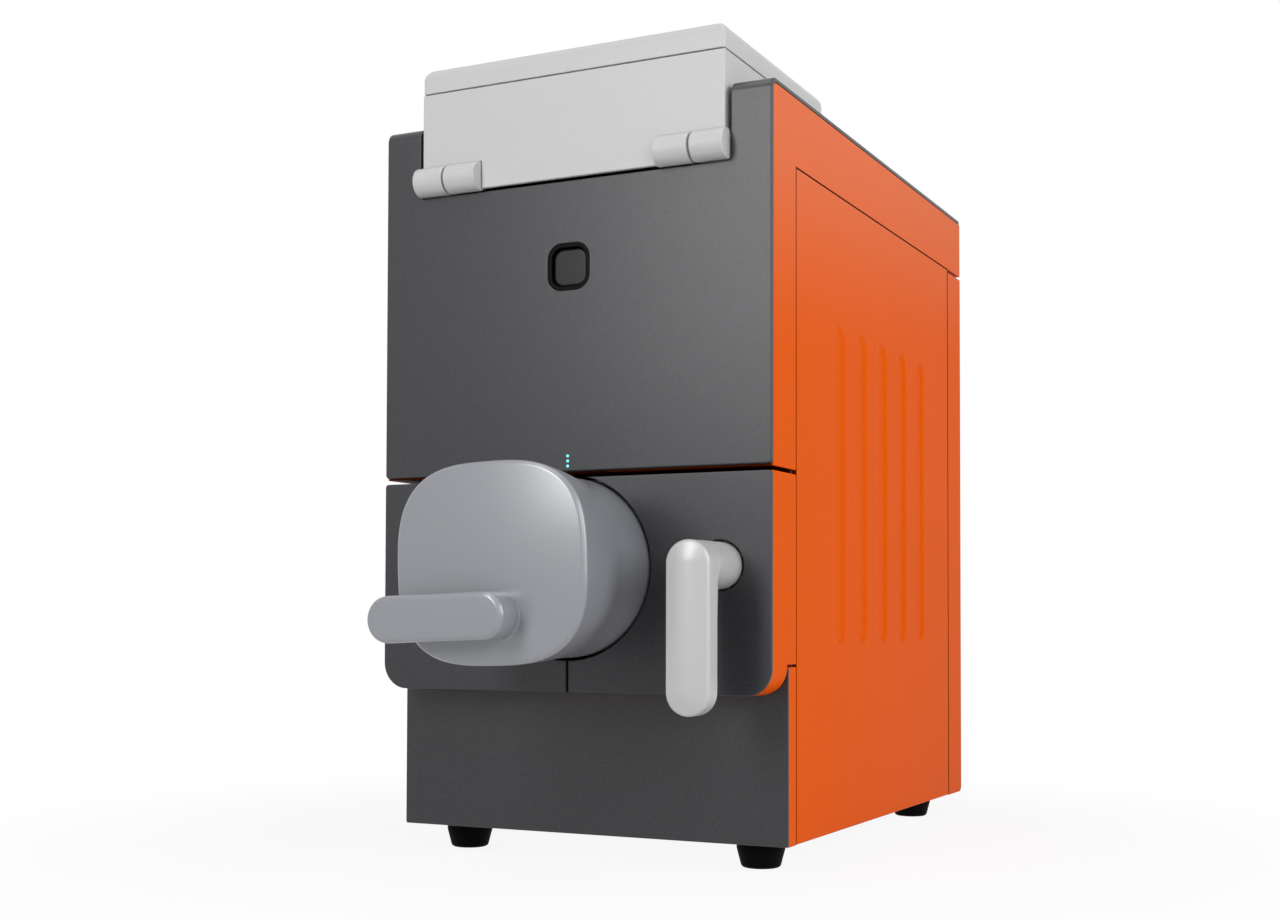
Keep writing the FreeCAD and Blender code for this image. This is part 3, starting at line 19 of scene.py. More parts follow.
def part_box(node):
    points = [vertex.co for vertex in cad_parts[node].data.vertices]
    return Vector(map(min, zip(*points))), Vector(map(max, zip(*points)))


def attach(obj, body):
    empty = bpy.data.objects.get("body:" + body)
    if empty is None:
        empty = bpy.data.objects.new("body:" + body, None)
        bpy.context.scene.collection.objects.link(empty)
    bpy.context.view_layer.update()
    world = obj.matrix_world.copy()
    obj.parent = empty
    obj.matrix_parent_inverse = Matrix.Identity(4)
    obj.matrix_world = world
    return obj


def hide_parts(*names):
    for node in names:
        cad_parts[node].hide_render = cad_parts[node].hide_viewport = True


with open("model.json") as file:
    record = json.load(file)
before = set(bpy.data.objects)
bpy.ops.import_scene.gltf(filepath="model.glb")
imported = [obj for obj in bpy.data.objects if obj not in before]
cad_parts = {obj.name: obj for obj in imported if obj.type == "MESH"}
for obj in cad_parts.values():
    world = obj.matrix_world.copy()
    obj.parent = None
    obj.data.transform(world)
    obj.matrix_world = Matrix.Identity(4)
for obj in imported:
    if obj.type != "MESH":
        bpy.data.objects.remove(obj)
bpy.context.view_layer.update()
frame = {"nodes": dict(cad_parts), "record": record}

# %% [markdown]
# ## Where things are
# Shapes are easier to think about in millimetres, counted as a maker would: across from the
# middle, back from the cabinet's front face, and up from the table. One small function turns
# such points into the frame's metres. The main levels are read from the CAD nodes, so that a
# sheet made here is as large as the one it stands for. One gap differs: the groove between the
# cover and the front plates is narrower in the photograph than in CAD, so the pieces below it
# are raised and the housing's ends above it are lowered a little.

# %% Units and levels
MM = 0.001


def low_mm(node):
    """A node's lowest corner in millimetres, with its depth counted from the front face."""
    return (np.array(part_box(node)[0]) - (0, FRONT, 0)) / MM


def high_mm(node):
    """A node's highest corner, counted the same way."""
    return (np.array(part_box(node)[1]) - (0, FRONT, 0)) / MM


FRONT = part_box("fascia_panel_right")[0].y
HALF_WIDTH, BODY_DEPTH, _ = high_mm("upper_housing")
COVER_BOTTOM = low_mm("upper_cover")[2]
COVER_TOP = high_mm("upper_cover")[2]
FASCIA_BOTTOM, FASCIA_TOP = low_mm("fascia_panel_left")[2], high_mm("fascia_panel_left")[2]
DRUM_Z = (low_mm("door_flange")[2] + high_mm("door_flange")[2]) / 2
LEVER_X, _, LEVER_Z = (low_mm("lever_shaft") + high_mm("lever_shaft")) / 2
GROOVE_RAISE, GROOVE_DROP = 1.9, 1.0
print(f"width {2 * HALF_WIDTH:.1f}, depth {BODY_DEPTH:.1f}, cover from {COVER_BOTTOM:.1f} mm up")

# %% [markdown]
# ## The camera
# The photograph was taken from low down on the right, so the uprights stay almost parallel and
# the horizon lies behind the lower third. A small upward shift of the lens does the rest, as
# on a view camera. Place, turn and lens were fitted to the cabinet's straight edges.

# %% Camera
CAMERA_PLACE = (0.47766, -1.00805, 0.12946 + low_mm("plinth_panel")[2] * MM)
YAW, PITCH, ROLL = (math.radians(angle) for angle in (26.30, 1.70, 0.15))
SENSOR, LENS, LENS_SHIFT = 36, 47.14, 0.0859

scene = bpy.context.scene
camera = bpy.data.objects.new("camera", bpy.data.cameras.new("camera"))
scene.collection.objects.link(camera)
scene.camera = camera
camera.location = CAMERA_PLACE
aim = Euler((0, 0, YAW)).to_matrix() @ Euler((math.pi / 2 + PITCH, 0, 0)).to_matrix()
camera.rotation_euler = (aim @ Euler((0, 0, ROLL)).to_matrix()).to_euler()
camera.data.sensor_width = SENSOR
camera.data.lens = LENS
camera.data.shift_y = LENS_SHIFT
camera.data.clip_start = 0.01
scene.view_settings.view_transform = "Standard"
print(f"camera {camera.location.z:.3f} m up, lens {LENS} mm")

# %% [markdown]
# ## Building blocks for the finishes
# A finish is a Principled shader with small causes behind its values: a slow drift of tone, a
# fine grain, the smear of hands. Each cause that several finishes share is a node group with
# named inputs, built once. A group puts out masks and heights only, and the shader itself
# stays in the material, so that the finish can be exported.

# %% Helpers for nodes
def set_inputs(node, inputs):
    """Sets inputs by name or number: to a plain value, or linked from another node's output."""
    for name, value in inputs.items():
        if isinstance(value, bpy.types.NodeSocket):
            node.id_data.links.new(value, node.inputs[name])
        else:
            node.inputs[name].default_value = value
    return node


def add_node(tree, kind, inputs=None, **settings):
    """Adds a node, with its own settings first and then its inputs."""
    made = tree.nodes.new(kind)
    for name, value in settings.items():
        setattr(made, name, value)
    return set_inputs(made, inputs or {})


def new_group(name, build, **inputs):
    """A shader group with value inputs (name=start value). Build makes its nodes from the tree,
    the inputs and the object's own coordinates, and gives the outputs by name."""
    tree = bpy.data.node_groups.new(name, "ShaderNodeTree")
    for label, value in inputs.items():
        socket = tree.interface.new_socket(label, in_out="INPUT", socket_type="NodeSocketFloat")
        socket.default_value = value
    given = tree.nodes.new("NodeGroupInput").outputs
    place = add_node(tree, "ShaderNodeTexCoord").outputs["Object"]
    results = build(tree, given, place)
    for label in results:
        tree.interface.new_socket(label, in_out="OUTPUT", socket_type="NodeSocketFloat")
    add_node(tree, "NodeGroupOutput", results)
    return tree


def math_node(tree, operation, *values):
    """One calculation on plain values or outputs, in the order of the node's inputs."""
    inputs = dict(enumerate(values))
    return add_node(tree, "ShaderNodeMath", inputs, operation=operation).outputs[0]


# %% [markdown]
# ### Drift, grain, flecks and smears
# *Drift* is the slow change of tone that every large painted face has. *Grain* is a fine
# height for moulded or sprayed surfaces. *Flecks* are the tiny flakes in a metallic powder
# coat: cells of half a millimetre, each with its own brightness. *Smears* make a touched
# surface a little glossier or duller in patches.

# %% Shared effect groups
def centred_noise(tree, given, place, **settings):
    """Noise about zero, times the group's amount."""
    inputs = {"Vector": place, "Scale": given["Scale"], **settings}
    noise = add_node(tree, "ShaderNodeTexNoise", inputs)
    centred = math_node(tree, "SUBTRACT", noise.outputs["Fac"], 0.5)
    return math_node(tree, "MULTIPLY", centred, given["Amount"])


def make_drift(tree, given, place):
    spread = centred_noise(tree, given, place, Detail=2.0)
    return {"Factor": math_node(tree, "MULTIPLY_ADD", spread, 2.0, 1.0)}


def make_grain(tree, given, place):
    inputs = {"Vector": place, "Scale": given["Scale"], "Detail": given["Detail"]}
    return {"Height": add_node(tree, "ShaderNodeTexNoise", inputs).outputs["Fac"]}


def make_flecks(tree, given, place):
    cells = add_node(tree, "ShaderNodeTexVoronoi", {"Vector": place, "Scale": given["Scale"]})
    random = add_node(tree, "ShaderNodeSeparateColor", {"Color": cells.outputs["Color"]}).outputs[0]
    limit = math_node(tree, "SUBTRACT", 1.0, given["Share"])
    bright = math_node(tree, "MAXIMUM", math_node(tree, "SUBTRACT", random, limit), 0.0)
    return {"Factor": math_node(tree, "MULTIPLY_ADD", bright, given["Contrast"], 1.0),
            "Height": cells.outputs["Distance"]}


def make_smears(tree, given, place):
    return {"Offset": centred_noise(tree, given, place, Detail=4.0, Distortion=1.2)}


drift_group = new_group("slow_drift", make_drift, Scale=6.0, Amount=0.05)
grain_group = new_group("fine_grain", make_grain, Scale=1800.0, Detail=3.0)
fleck_group = new_group("metal_flecks", make_flecks, Scale=2200.0, Contrast=0.5, Share=0.35)
smear_group = new_group("hand_smears", make_smears, Scale=18.0, Amount=0.05)
print("groups:", [group.name for group in bpy.data.node_groups])

# %% [markdown]
# ### Dark joints
# Painted shade in the joints
# Light hardly reaches into the joints of a cabinet: the gap round a side panel, the seam below
# the drum, the ring round the drum, the groove under the cover. A render with few samples keeps
# such gaps too bright in a strong colour, so a mask on the object's own coordinates darkens the
# paint there as painted shade. Distances are in millimetres. Each joint is a region, masks are
# multiplied where all must hold, and the largest of them wins.
# region, masks are multiplied where all must hold, and the largest of them wins.

# %% Masks of painted shade in the joints
PANEL_LOW, PANEL_HIGH = low_mm("side_panel_right"), high_mm("side_panel_right")
# How dark the painted joint shade is, and how much weaker it is in the panel gaps and the groove.
JOINT_SHADE_TONE, SOFTER = 0.06, 0.9
JOINT_REACH, JOINT_DEPTH, JOINT_ZONE = 1.5, 0.18, 12.0
SEAM_REACH, SEAM_DEPTH = 2.2, 6.0
RING_REACH, RING_DEPTH, LEVER_REACH = 62.0, 40.0, 20.0
GROOVE_DEPTH, GROOVE_REACH = 1.2, 1.5


def places_mm(tree, place):
    """Across, back from the front face, and up, each as a value in millimetres."""
    axes = add_node(tree, "ShaderNodeSeparateXYZ", {"Vector": place}).outputs
    back = math_node(tree, "SUBTRACT", axes[1], FRONT)
    return [math_node(tree, "DIVIDE", value, MM) for value in (axes[0], back, axes[2])]


def below(tree, value, limit):
    return math_node(tree, "LESS_THAN", value, limit)


def folded(tree, operation, first, *others):
    """One operation carried through several values, such as the product of all."""
    for value in others:
        first = math_node(tree, operation, first, value)
    return first


def past_band(tree, value, low, high):
    """How far a value lies outside a band, negative inside it."""
    off = math_node(tree, "SUBTRACT", value, (low + high) / 2)
    return math_node(tree, "SUBTRACT", math_node(tree, "ABSOLUTE", off), (high - low) / 2)


def within_circle(tree, across, up, centre, radius):
    """1 where across squared plus up squared, from the centre, is below the radius squared."""
    off, height = (math_node(tree, "SUBTRACT", value, middle)
                   for value, middle in zip((across, up), centre))
    squares = math_node(tree, "MULTIPLY_ADD", off, off, math_node(tree, "MULTIPLY", height, height))
    return below(tree, squares, radius ** 2)


def make_joint_shade(tree, _, place):
    """1 on open faces, and a darker tone in the joints as painted shade."""
    across, back, up = places_mm(tree, place)
    side = math_node(tree, "ABSOLUTE", across)
    border = [past_band(tree, value, PANEL_LOW[axis], PANEL_HIGH[axis])
              for value, axis in ((back, 1), (up, 2))]
    distance = math_node(tree, "ABSOLUTE", math_node(tree, "MAXIMUM", *border))
    sunk = below(tree, side, HALF_WIDTH - JOINT_DEPTH)
    outer = math_node(tree, "GREATER_THAN", side, HALF_WIDTH - JOINT_ZONE)
    panel_gap = folded(tree, "MULTIPLY", below(tree, distance, JOINT_REACH), sunk, outer, SOFTER)
    seam = folded(tree, "MULTIPLY", below(tree, side, SEAM_REACH),
                  below(tree, back, SEAM_DEPTH), below(tree, up, DRUM_Z))
    holes = [within_circle(tree, across, up, centre, radius)
             for centre, radius in (((0, DRUM_Z), RING_REACH), ((LEVER_X, LEVER_Z), LEVER_REACH))]
    in_front = below(tree, back, RING_DEPTH)
    hole = math_node(tree, "MULTIPLY", math_node(tree, "MAXIMUM", *holes), in_front)
    off = past_band(tree, up, FASCIA_TOP, COVER_BOTTOM)
    groove = folded(tree, "MULTIPLY", below(tree, off, GROOVE_REACH),
                    below(tree, side, HALF_WIDTH - GROOVE_DEPTH), in_front, SOFTER)
    joint = folded(tree, "MAXIMUM", panel_gap, seam, hole, groove)
    return {"Factor": math_node(tree, "MULTIPLY_ADD", joint, JOINT_SHADE_TONE - 1, 1.0)}


# The painted shade in the joints of the orange paint.
joint_shade = new_group("joint_shade", make_joint_shade)
print("joint mask:", len(joint_shade.nodes), "nodes")

# %% [markdown]
# ### Painted edge shade and a painted top sheen
# Two more masks work the same way. A painted shade makes the cut edge of a grey sheet a little
# darker than its faces. And a painted sheen makes the orange paler towards the top of the
# cabinet, where light washes over it, so a height share rises from 0 to 1 there.

# %% Painted edge shade and top sheen masks
# How far in from the side the painted edge shade reaches, in millimetres, and its tone.
EDGE_DEPTH, EDGE_SHADE_TONE = 0.12, 0.9
# Where the painted sheen on the orange starts and ends in height, and how it sinks towards the
# back.
SHEEN_LOW, SHEEN_HIGH, SHEEN_SLOPE = 290.0, 445.0, -0.12


def make_edge_shade(tree, _, place):
    """1 on the faces of a sheet, and a darker tone on its cut edge as painted shade."""
    side = math_node(tree, "ABSOLUTE", places_mm(tree, place)[0])
    edge = math_node(tree, "GREATER_THAN", side, HALF_WIDTH - EDGE_DEPTH)
    return {"Factor": math_node(tree, "MULTIPLY_ADD", edge, EDGE_SHADE_TONE - 1, 1.0)}


def make_top_sheen(tree, _, place):
    """Painted sheen: 0 up to the middle of the cabinet, then rising to 1 at its top front edge."""
    _, back, up = places_mm(tree, place)
    level = math_node(tree, "MULTIPLY_ADD", back, SHEEN_SLOPE, up)
    inputs = {"Value": level, "From Min": SHEEN_LOW, "From Max": SHEEN_HIGH}
    share = add_node(tree, "ShaderNodeMapRange", inputs, interpolation_type="SMOOTHSTEP")
    return {"Factor": share.outputs["Result"]}


# Painted shade on the cut edges of the grey sheets.
edge_shade = new_group("edge_shade", make_edge_shade)
# Painted sheen on the orange towards the top of the cabinet.
sheen_group = new_group("painted_top_sheen", make_top_sheen)
print("masks:", joint_shade.name, edge_shade.name, sheen_group.name)

# %% [markdown]
# ### One recipe for sprayed, moulded and machined surfaces
# Most finishes of this machine differ only in numbers: colour, roughness, how metallic the
# coat is, how coarse its grain is and how deep. So one function makes them, and the finishes
# are a short list of calls. Values that are the same all over the surface are set on the
# shader's own sockets. Each finish is kept under the name of its slot in the record, or else
# under its own name.

# %% The finish recipe
FINISHES = {}
COAT_ROUGHNESS = 0.25


def use_group(tree, group, **inputs):
    """The outputs of a node that runs a shared group, with some of its inputs set."""
    return add_node(tree, "ShaderNodeGroup", inputs, node_tree=group).outputs


def colour_mix(tree, kind, share, first, second):
    """Mixes two colours. Each, and the share, is a plain value or another node's output."""
    return add_node(tree, "ShaderNodeMix", {0: share, 6: first, 7: second}, data_type="RGBA",
                    blend_type=kind).outputs[2]


def tinted(tree, colour, *factors):
    """The colour multiplied by each factor in turn."""
    for factor in factors:
        colour = colour_mix(tree, "MULTIPLY", 1.0, colour, factor)
    return colour


def finish(name, colour, roughness, metallic=0.0, grain=1800.0, depth=0.02, drift=0.04,
           smears=0.03, flecks=None, coat=0.0, gloss=0.5, shade=None, top_sheen=None, slot=None):
    """A painted, moulded or machined surface. Grain is per metre, its depth in millimetres,
    gloss is the strength of the mirror layer, where 0.5 is plain plastic, shade is a mask of
    painted shade that darkens joints or edges, top_sheen is the colour of a painted sheen near
    the top of the cabinet, and slot is the name in the record where it differs."""
    material = bpy.data.materials.new(name)
    material.use_nodes = True
    tree = material.node_tree
    shader = set_inputs(tree.nodes["Principled BSDF"], {
        "Metallic": metallic, "Coat Weight": coat, "Coat Roughness": COAT_ROUGHNESS,
        "Specular IOR Level": gloss})
    factors = [use_group(tree, drift_group, Amount=drift)["Factor"]]
    height = use_group(tree, grain_group, Scale=grain)["Height"]
    # Painted shade in joints or on edges, where a mask is given.
    if shade:
        factors.append(use_group(tree, shade)["Factor"])
    if flecks:
        cells = use_group(tree, fleck_group, **flecks)
        factors.append(cells["Factor"])
        height = math_node(tree, "ADD", height, cells["Height"])
    tone = (*colour, 1)
    # Painted sheen: the colour turns paler towards the top.
    if top_sheen:
        share = use_group(tree, sheen_group)["Factor"]
        tone = colour_mix(tree, "MIX", share, tone, (*top_sheen, 1))
    if smears:
        offset = use_group(tree, smear_group, Amount=smears)["Offset"]
        roughness = math_node(tree, "ADD", offset, roughness)
    relief = {"Height": height, "Distance": depth * MM, "Strength": 1.0}
    set_inputs(shader, {
        "Base Color": tinted(tree, tone, *factors), "Roughness": roughness,
        "Normal": add_node(tree, "ShaderNodeBump", relief).outputs["Normal"]})
    FINISHES[slot or name] = material

# %% [markdown]
# ### What shows outside
# Colours are linear: a middle grey is written as about 0.2. The two blacks and the dark grey
# need little gloss, or the lamps would turn them pale. The orange has almost none.

# %% Finishes for the outside
# The grey coat carries painted shade on its cut edges.
finish("grey_powder_coat", (0.0295, 0.0306, 0.0338), 0.34, grain=2600.0, depth=0.02, drift=0.05,
       gloss=0.4, flecks={"Scale": 2400.0, "Contrast": 1.4, "Share": 0.4}, shade=edge_shade)
# The orange carries painted shade in its joints and a painted sheen towards the top.
finish("orange_paint", (0.79, 0.106, 0.0020), 0.42, grain=900.0, depth=0.012, drift=0.02,
       gloss=0.02, shade=joint_shade, top_sheen=(0.80, 0.185, 0.075))
finish("light_grey_shell", (0.58, 0.58, 0.58), 0.40, grain=2200.0, depth=0.008, drift=0.02,
       gloss=0.3)
finish("drum_grey", (0.255, 0.264, 0.289), 0.25, grain=1500.0, depth=0.001, drift=0.02,
       smears=0.0, gloss=1.0)
finish("lever_white", (0.515, 0.515, 0.512), 0.33, grain=1700.0, depth=0.004, drift=0.02,
       smears=0.0, gloss=1.0)
finish("black_rubber", (0.002, 0.002, 0.0022), 0.62, grain=1400.0, depth=0.03, drift=0.1,
       gloss=0.04)
finish("black_plastic", (0.003, 0.003, 0.0035), 0.30, grain=2600.0, depth=0.01, gloss=0.05)
finish("button_face", (0.016, 0.016, 0.016), 0.36, grain=2600.0, depth=0.01, gloss=0.2)
print("outside:", ", ".join(FINISHES))

# %% [markdown]
# ### What is inside
# The chassis is zinc-plated sheet, the vacuum parts are milled or turned, and the supplies are
# in enamelled cases. They show when the lid and the door are open, so each gets a true metal
# or enamel finish as well. The status lights shine a little by themselves.

# %% Finishes for the inside
finish("zinc_plate", (0.52, 0.53, 0.54), 0.38, metallic=0.9, grain=350.0, depth=0.01, drift=0.12,
       slot="chassis_steel")
finish("milled_aluminium", (0.66, 0.67, 0.68), 0.30, metallic=1.0, grain=3200.0, depth=0.01)
finish("ground_steel", (0.55, 0.56, 0.57), 0.20, metallic=1.0, grain=4200.0, depth=0.006)
finish("bearing_bronze", (0.50, 0.31, 0.12), 0.34, metallic=1.0, grain=2800.0, depth=0.01)
finish("grey_enamel", (0.20, 0.21, 0.22), 0.38, grain=900.0, depth=0.015, slot="painted_case")
finish("circuit_green", (0.012, 0.10, 0.045), 0.30, grain=3000.0, depth=0.01, coat=0.3)

finish("status_teal", (0.05, 0.45, 0.43), 0.25, grain=3000.0, depth=0.002)
shader = FINISHES["status_teal"].node_tree.nodes["Principled BSDF"]
set_inputs(shader, {"Emission Color": (0.25, 0.95, 0.90, 1), "Emission Strength": 0.9})
print("finishes:", len(FINISHES))

# %% [markdown]
# Every CAD node is given the finish of its slot in the record. A new piece later takes the
# place of some of these nodes and asks for the same slot.

# %% Dress the CAD nodes
SLOT_OF = {row["node"]: row["material_slot"] for row in frame["record"]["subparts"]}
BODIES = frame["record"]["behaviour"]["bodies"]
BODY_OF = {node: body for body, nodes in BODIES.items() for node in nodes}
for node, obj in frame["nodes"].items():
    obj.data.materials.clear()
    obj.data.materials.append(FINISHES[SLOT_OF[node]])
print("finishes on CAD nodes:", len(SLOT_OF))

# %% [markdown]
# ## Turning arrays into pieces
# Every new surface is a set of rings: closed rows of points, one behind the other. Between two
# neighbouring rings lie quads, and where a form ends, its last ring is closed by a fan, a cap
# or a flat face. `put_piece` makes the mesh, smooths it, keeps its sharp edges, lets large
# faces decide the shading next to a rounded rim, and takes the finish and body of the node
# that it stands for, which it hides.
# `stack` closes rings into a skin, and `quarter` gives the steps of every rounded edge.

# %% Mesh helpers
def put_piece(name, points, faces, node, sharp=40.0, material=None):
    """A mesh from points in millimetres, in place of a CAD node and with its slot and body."""
    mesh = bpy.data.meshes.new(name)
    mesh.from_pydata((np.asarray(points) * MM + (0, FRONT, 0)).tolist(), [], faces)
    mesh.materials.append(material or FINISHES[SLOT_OF[node]])
    return settle(name, mesh, node, sharp)


def settle(name, mesh, node, sharp=40.0):
    """Shades a mesh smooth up to its sharp edges and puts it on the body of its node."""
    mesh.polygons.foreach_set("use_smooth", np.ones(len(mesh.polygons), dtype=bool))
    mesh.set_sharp_from_angle(angle=math.radians(sharp))
    obj = bpy.data.objects.new(name, mesh)
    scene.collection.objects.link(obj)
    even = obj.modifiers.new("even_shading", "WEIGHTED_NORMAL")
    even.keep_sharp = True
    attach(obj, BODY_OF[node])
    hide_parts(node)
    return obj


def ring_faces(rings, count, first=0):
    """Quads between neighbouring rings. Point j of ring i is number first + i * count + j."""
    ring = np.arange(rings - 1)[:, None] * count + first
    here = np.arange(count)[None, :]
    after = (here + 1) % count
    quads = (ring + after, ring + here, ring + count + here, ring + count + after)
    return np.stack(quads, axis=-1).reshape(-1, 4).tolist()


def fan(centre, ring, turned=False):
    """Triangles from a centre point to each side of a closed ring."""
    pairs = np.column_stack((ring, np.roll(ring, -1)))
    if turned:
        pairs = pairs[:, ::-1]
    return np.column_stack((np.full(len(ring), centre), pairs)).tolist()


def stack(rings, centres=None):
    """Closes a stack of rings, given from the front's middle outward and back, into one skin."""
    if centres is None:
        centres = [rings[0].mean(axis=0), rings[-1].mean(axis=0)]
    ring = np.arange(len(rings[0]))
    total = len(rings) * len(ring)
    faces = ring_faces(len(rings), len(ring)) + fan(total, ring)
    faces += fan(total + 1, total - len(ring) + ring, turned=True)
    return np.vstack([*rings, *centres]), faces


def quarter(count, start=0):
    """Pairs of sine and cosine at even steps from the start angle to 90 degrees."""
    turn = np.radians(np.linspace(start, 90, count))
    return zip(np.sin(turn), np.cos(turn))

# %% [markdown]
# ### Outlines
# The sheets of the cabinet have outlines of straight lines and arcs. An outline is the points
# of its arcs, one after the other, and the straight sides follow from one arc's end to the
# next one's start. Seen from outside it runs counter-clockwise, and a hole runs clockwise, so
# the material is always on the left. A point counts as on a line when it is closer than the
# gaps below, in millimetres.

# %% Outline helpers
SIDE_GAP, ROW_GAP, MERGE_GAP = 1e-6, 1e-5, 1e-7


def arc(centre, radius, start, stop, steps=10):
    """Centre plus radius times the cosine and sine of an angle that runs from start to stop."""
    angle = np.radians(np.linspace(start, stop, steps + 1))
    return np.asarray(centre) + radius * np.column_stack((np.cos(angle), np.sin(angle)))


def circle_hole(centre, radius, count):
    """A full circle of count points, clockwise as holes run."""
    return arc(centre, radius, 0, -360 * (count - 1) / count, count - 1)


def rectangle(left, right, bottom, top, radius, steps=8):
    """A quarter circle in each corner, counter-clockwise from the lower left one."""
    centres = [(left + radius, bottom + radius), (right - radius, bottom + radius),
               (right - radius, top - radius), (left + radius, top - radius)]
    return np.concatenate([arc(centre, radius, start, start + 90, steps)
                           for centre, start in zip(centres, (180, 270, 0, 90))])


def split_sides(loop, levels):
    """Adds a point wherever a side of the loop crosses one of the levels."""
    after = np.roll(loop, -1, axis=0)
    runs = []
    for start, stop in zip(loop, after):
        low, high = sorted((start[1], stop[1]))
        inside = [level for level in levels if low + SIDE_GAP < level < high - SIDE_GAP]
        share = np.sort([(level - start[1]) / (stop[1] - start[1]) for level in inside])
        runs.append(np.vstack([start[None], start + np.outer(share, stop - start)]))
    return np.concatenate(runs)


def inset(loop, distance):
    """Moves a loop into its material: each point goes along the mean of its sides' normals."""
    along = np.roll(loop, -1, axis=0) - loop
    along /= np.linalg.norm(along, axis=1)[:, None]
    normal = np.column_stack((-along[:, 1], along[:, 0]))
    before = np.roll(normal, 1, axis=0)
    both = normal + before
    return loop + distance * both / (1 + (normal * before).sum(axis=1))[:, None]

# %% [markdown]
# ### Plates
# A plate is an outline with holes and a thickness. Its rim is a profile carried along the
# outline: a quarter circle at the front, a straight edge, and a smaller quarter circle at the
# back. The flat faces between the loops are filled with triangles. `place` says where the
# plate lies: it turns across, up and depth into a point of the cabinet.

# %% Plate helper
def fill(loops, levels=()):
    """Triangles that fill an outline with holes; levels are lines that they must follow."""
    flat = np.concatenate(loops)
    edges, first = [], 0
    for loop in loops:
        ring = first + np.arange(len(loop))
        edges += np.column_stack((ring, np.roll(ring, -1))).tolist()
        first += len(loop)
    for level in levels:
        there = np.flatnonzero(np.abs(flat[:, 1] - level) < ROW_GAP)
        order = there[np.argsort(flat[there, 0])]
        edges += order[:len(order) // 2 * 2].reshape(-1, 2).tolist()
    found = delaunay_2d_cdt([Vector(point) for point in flat], edges, [], 1, MERGE_GAP)
    origin = np.array([sources[0] for sources in found[3]])
    faces = origin[np.array(found[2])]
    stop = np.concatenate([np.roll(loop, -1, axis=0) for loop in loops])
    faces = faces[inside_loops(flat[faces].mean(axis=1), flat, stop)]
    a, b, c = (flat[faces[:, index]] for index in range(3))
    (bx, by), (cx, cy) = (b - a).T, (c - a).T
    turned = bx * cy - by * cx < 0
    faces[turned] = faces[turned][:, ::-1]
    return faces


def inside_loops(places, start, stop):
    """True where a line to the right of a place crosses the sides, start to stop, an odd
    number of times."""
    x, y = places[:, :1], places[:, 1:]
    rise = stop[:, 1] - start[:, 1]
    beside = (start[:, 1] > y) != (stop[:, 1] > y)
    share = np.divide(y - start[:, 1], rise, out=np.zeros(beside.shape), where=rise != 0)
    crossed = beside & (x < start[:, 0] + share * (stop[:, 0] - start[:, 0]))
    return crossed.sum(axis=1) % 2 == 1


def rim_profile(thickness, front, back, steps=5):
    """Pairs of inset and depth: a quarter circle, a straight edge, a quarter circle."""
    turn = np.radians(np.linspace(0, 90, steps + 1))
    sine, cosine = np.sin(turn), np.cos(turn)
    front_part = np.column_stack((front * (1 - sine), front * (1 - cosine)))
    back_part = np.column_stack((back * (1 - cosine), thickness - back * (1 - sine)))
    return np.vstack((front_part, back_part))


def plate(loops, thickness, place, levels=()):
    """Points and faces of a plate. Each loop comes as (outline, front radius, back radius)."""
    points, faces, fronts, backs, first = [], [], [], [], 0
    for loop, front, back in loops:
        profile = rim_profile(thickness, front, back)
        rings = [inset(loop, distance) for distance, _ in profile]
        number = first + np.arange(len(rings) * len(loop)).reshape(len(rings), -1)
        for ring, (_, depth) in zip(rings, profile):
            points.append(np.column_stack((ring, np.full(len(loop), depth))))
        faces += ring_faces(len(rings), len(loop), first)
        fronts.append((rings[0], number[0]))
        backs.append((rings[-1], number[-1]))
        first += number.size
    for ends, step in ((fronts, 1), (backs, -1)):
        flat, number = zip(*ends)
        faces += np.concatenate(number)[fill(flat, levels)][:, ::step].tolist()
    return place(*np.concatenate(points).T), faces


def facing_front(level=0.0):
    """A plate seen from the front: across is x, up is z, and its depth goes back."""
    return lambda across, up, depth: np.column_stack((across, level + depth, up))

# %% [markdown]
# ## The grey cover
# This is the part that the eye meets first: one sheet of metal that comes up the front, bends
# over at the top and runs to the back, with a notch cut for the lid. Such a sheet is cut flat
# and then bent, and it is made the same way here: the outline is drawn unrolled, with the
# length along the sheet as its height, and a bend wraps it round a quarter circle. Rows of
# points across the bend keep it round.

# %% Upper cover
SHEET, BEND, BEND_ROWS, SHEET_CORNER = 2.6, 7.0, 13, 2.5
NOTCH_GAP, NOTCH_DROP, NOTCH_CORNER = 3.0, 1.7, 3.0
NOTCH_HALF = high_mm("lid_shell")[0] + NOTCH_GAP
NOTCH_BACK = high_mm("lid_shell")[1] + NOTCH_GAP
NOTCH_BOTTOM = low_mm("lid_shell")[2] - NOTCH_DROP
BUTTON_SINK = 0.4
BUTTON_Z = (low_mm("power_button")[2] + high_mm("power_button")[2]) / 2 - BUTTON_SINK
BEZEL_HALF, BEZEL_CORNER = 14.2, 9.3
LIGHT_Z, LIGHT_PITCH, LIGHT_RADIUS, LIGHT_POINTS = COVER_BOTTOM + 6.3, 3.0, 0.9, 24
SHEET_RIM, NOTCH_RIM, WINDOW_RIM, LIGHT_RIM = (1.0, 0.3), (0.6, 0.3), (0.35, 0.2), (0.12, 0.1)

flat_front = COVER_TOP - BEND - COVER_BOTTOM
bend_end = flat_front + BEND * math.pi / 2
sheet_end = bend_end + BODY_DEPTH - BEND
bend_rows = np.linspace(flat_front, bend_end, BEND_ROWS)


def wrapped(across, along, depth):
    """Up the front, round a quarter circle about the bend's axis, and back along the top."""
    turn = np.clip((along - flat_front) / BEND, 0, math.pi / 2)
    back = np.maximum(along - bend_end, 0)
    reach = BEND - depth
    y = BEND - reach * np.cos(turn) + back
    z = COVER_TOP - BEND + np.minimum(along - flat_front, 0) + reach * np.sin(turn)
    return np.column_stack((across, y, z))


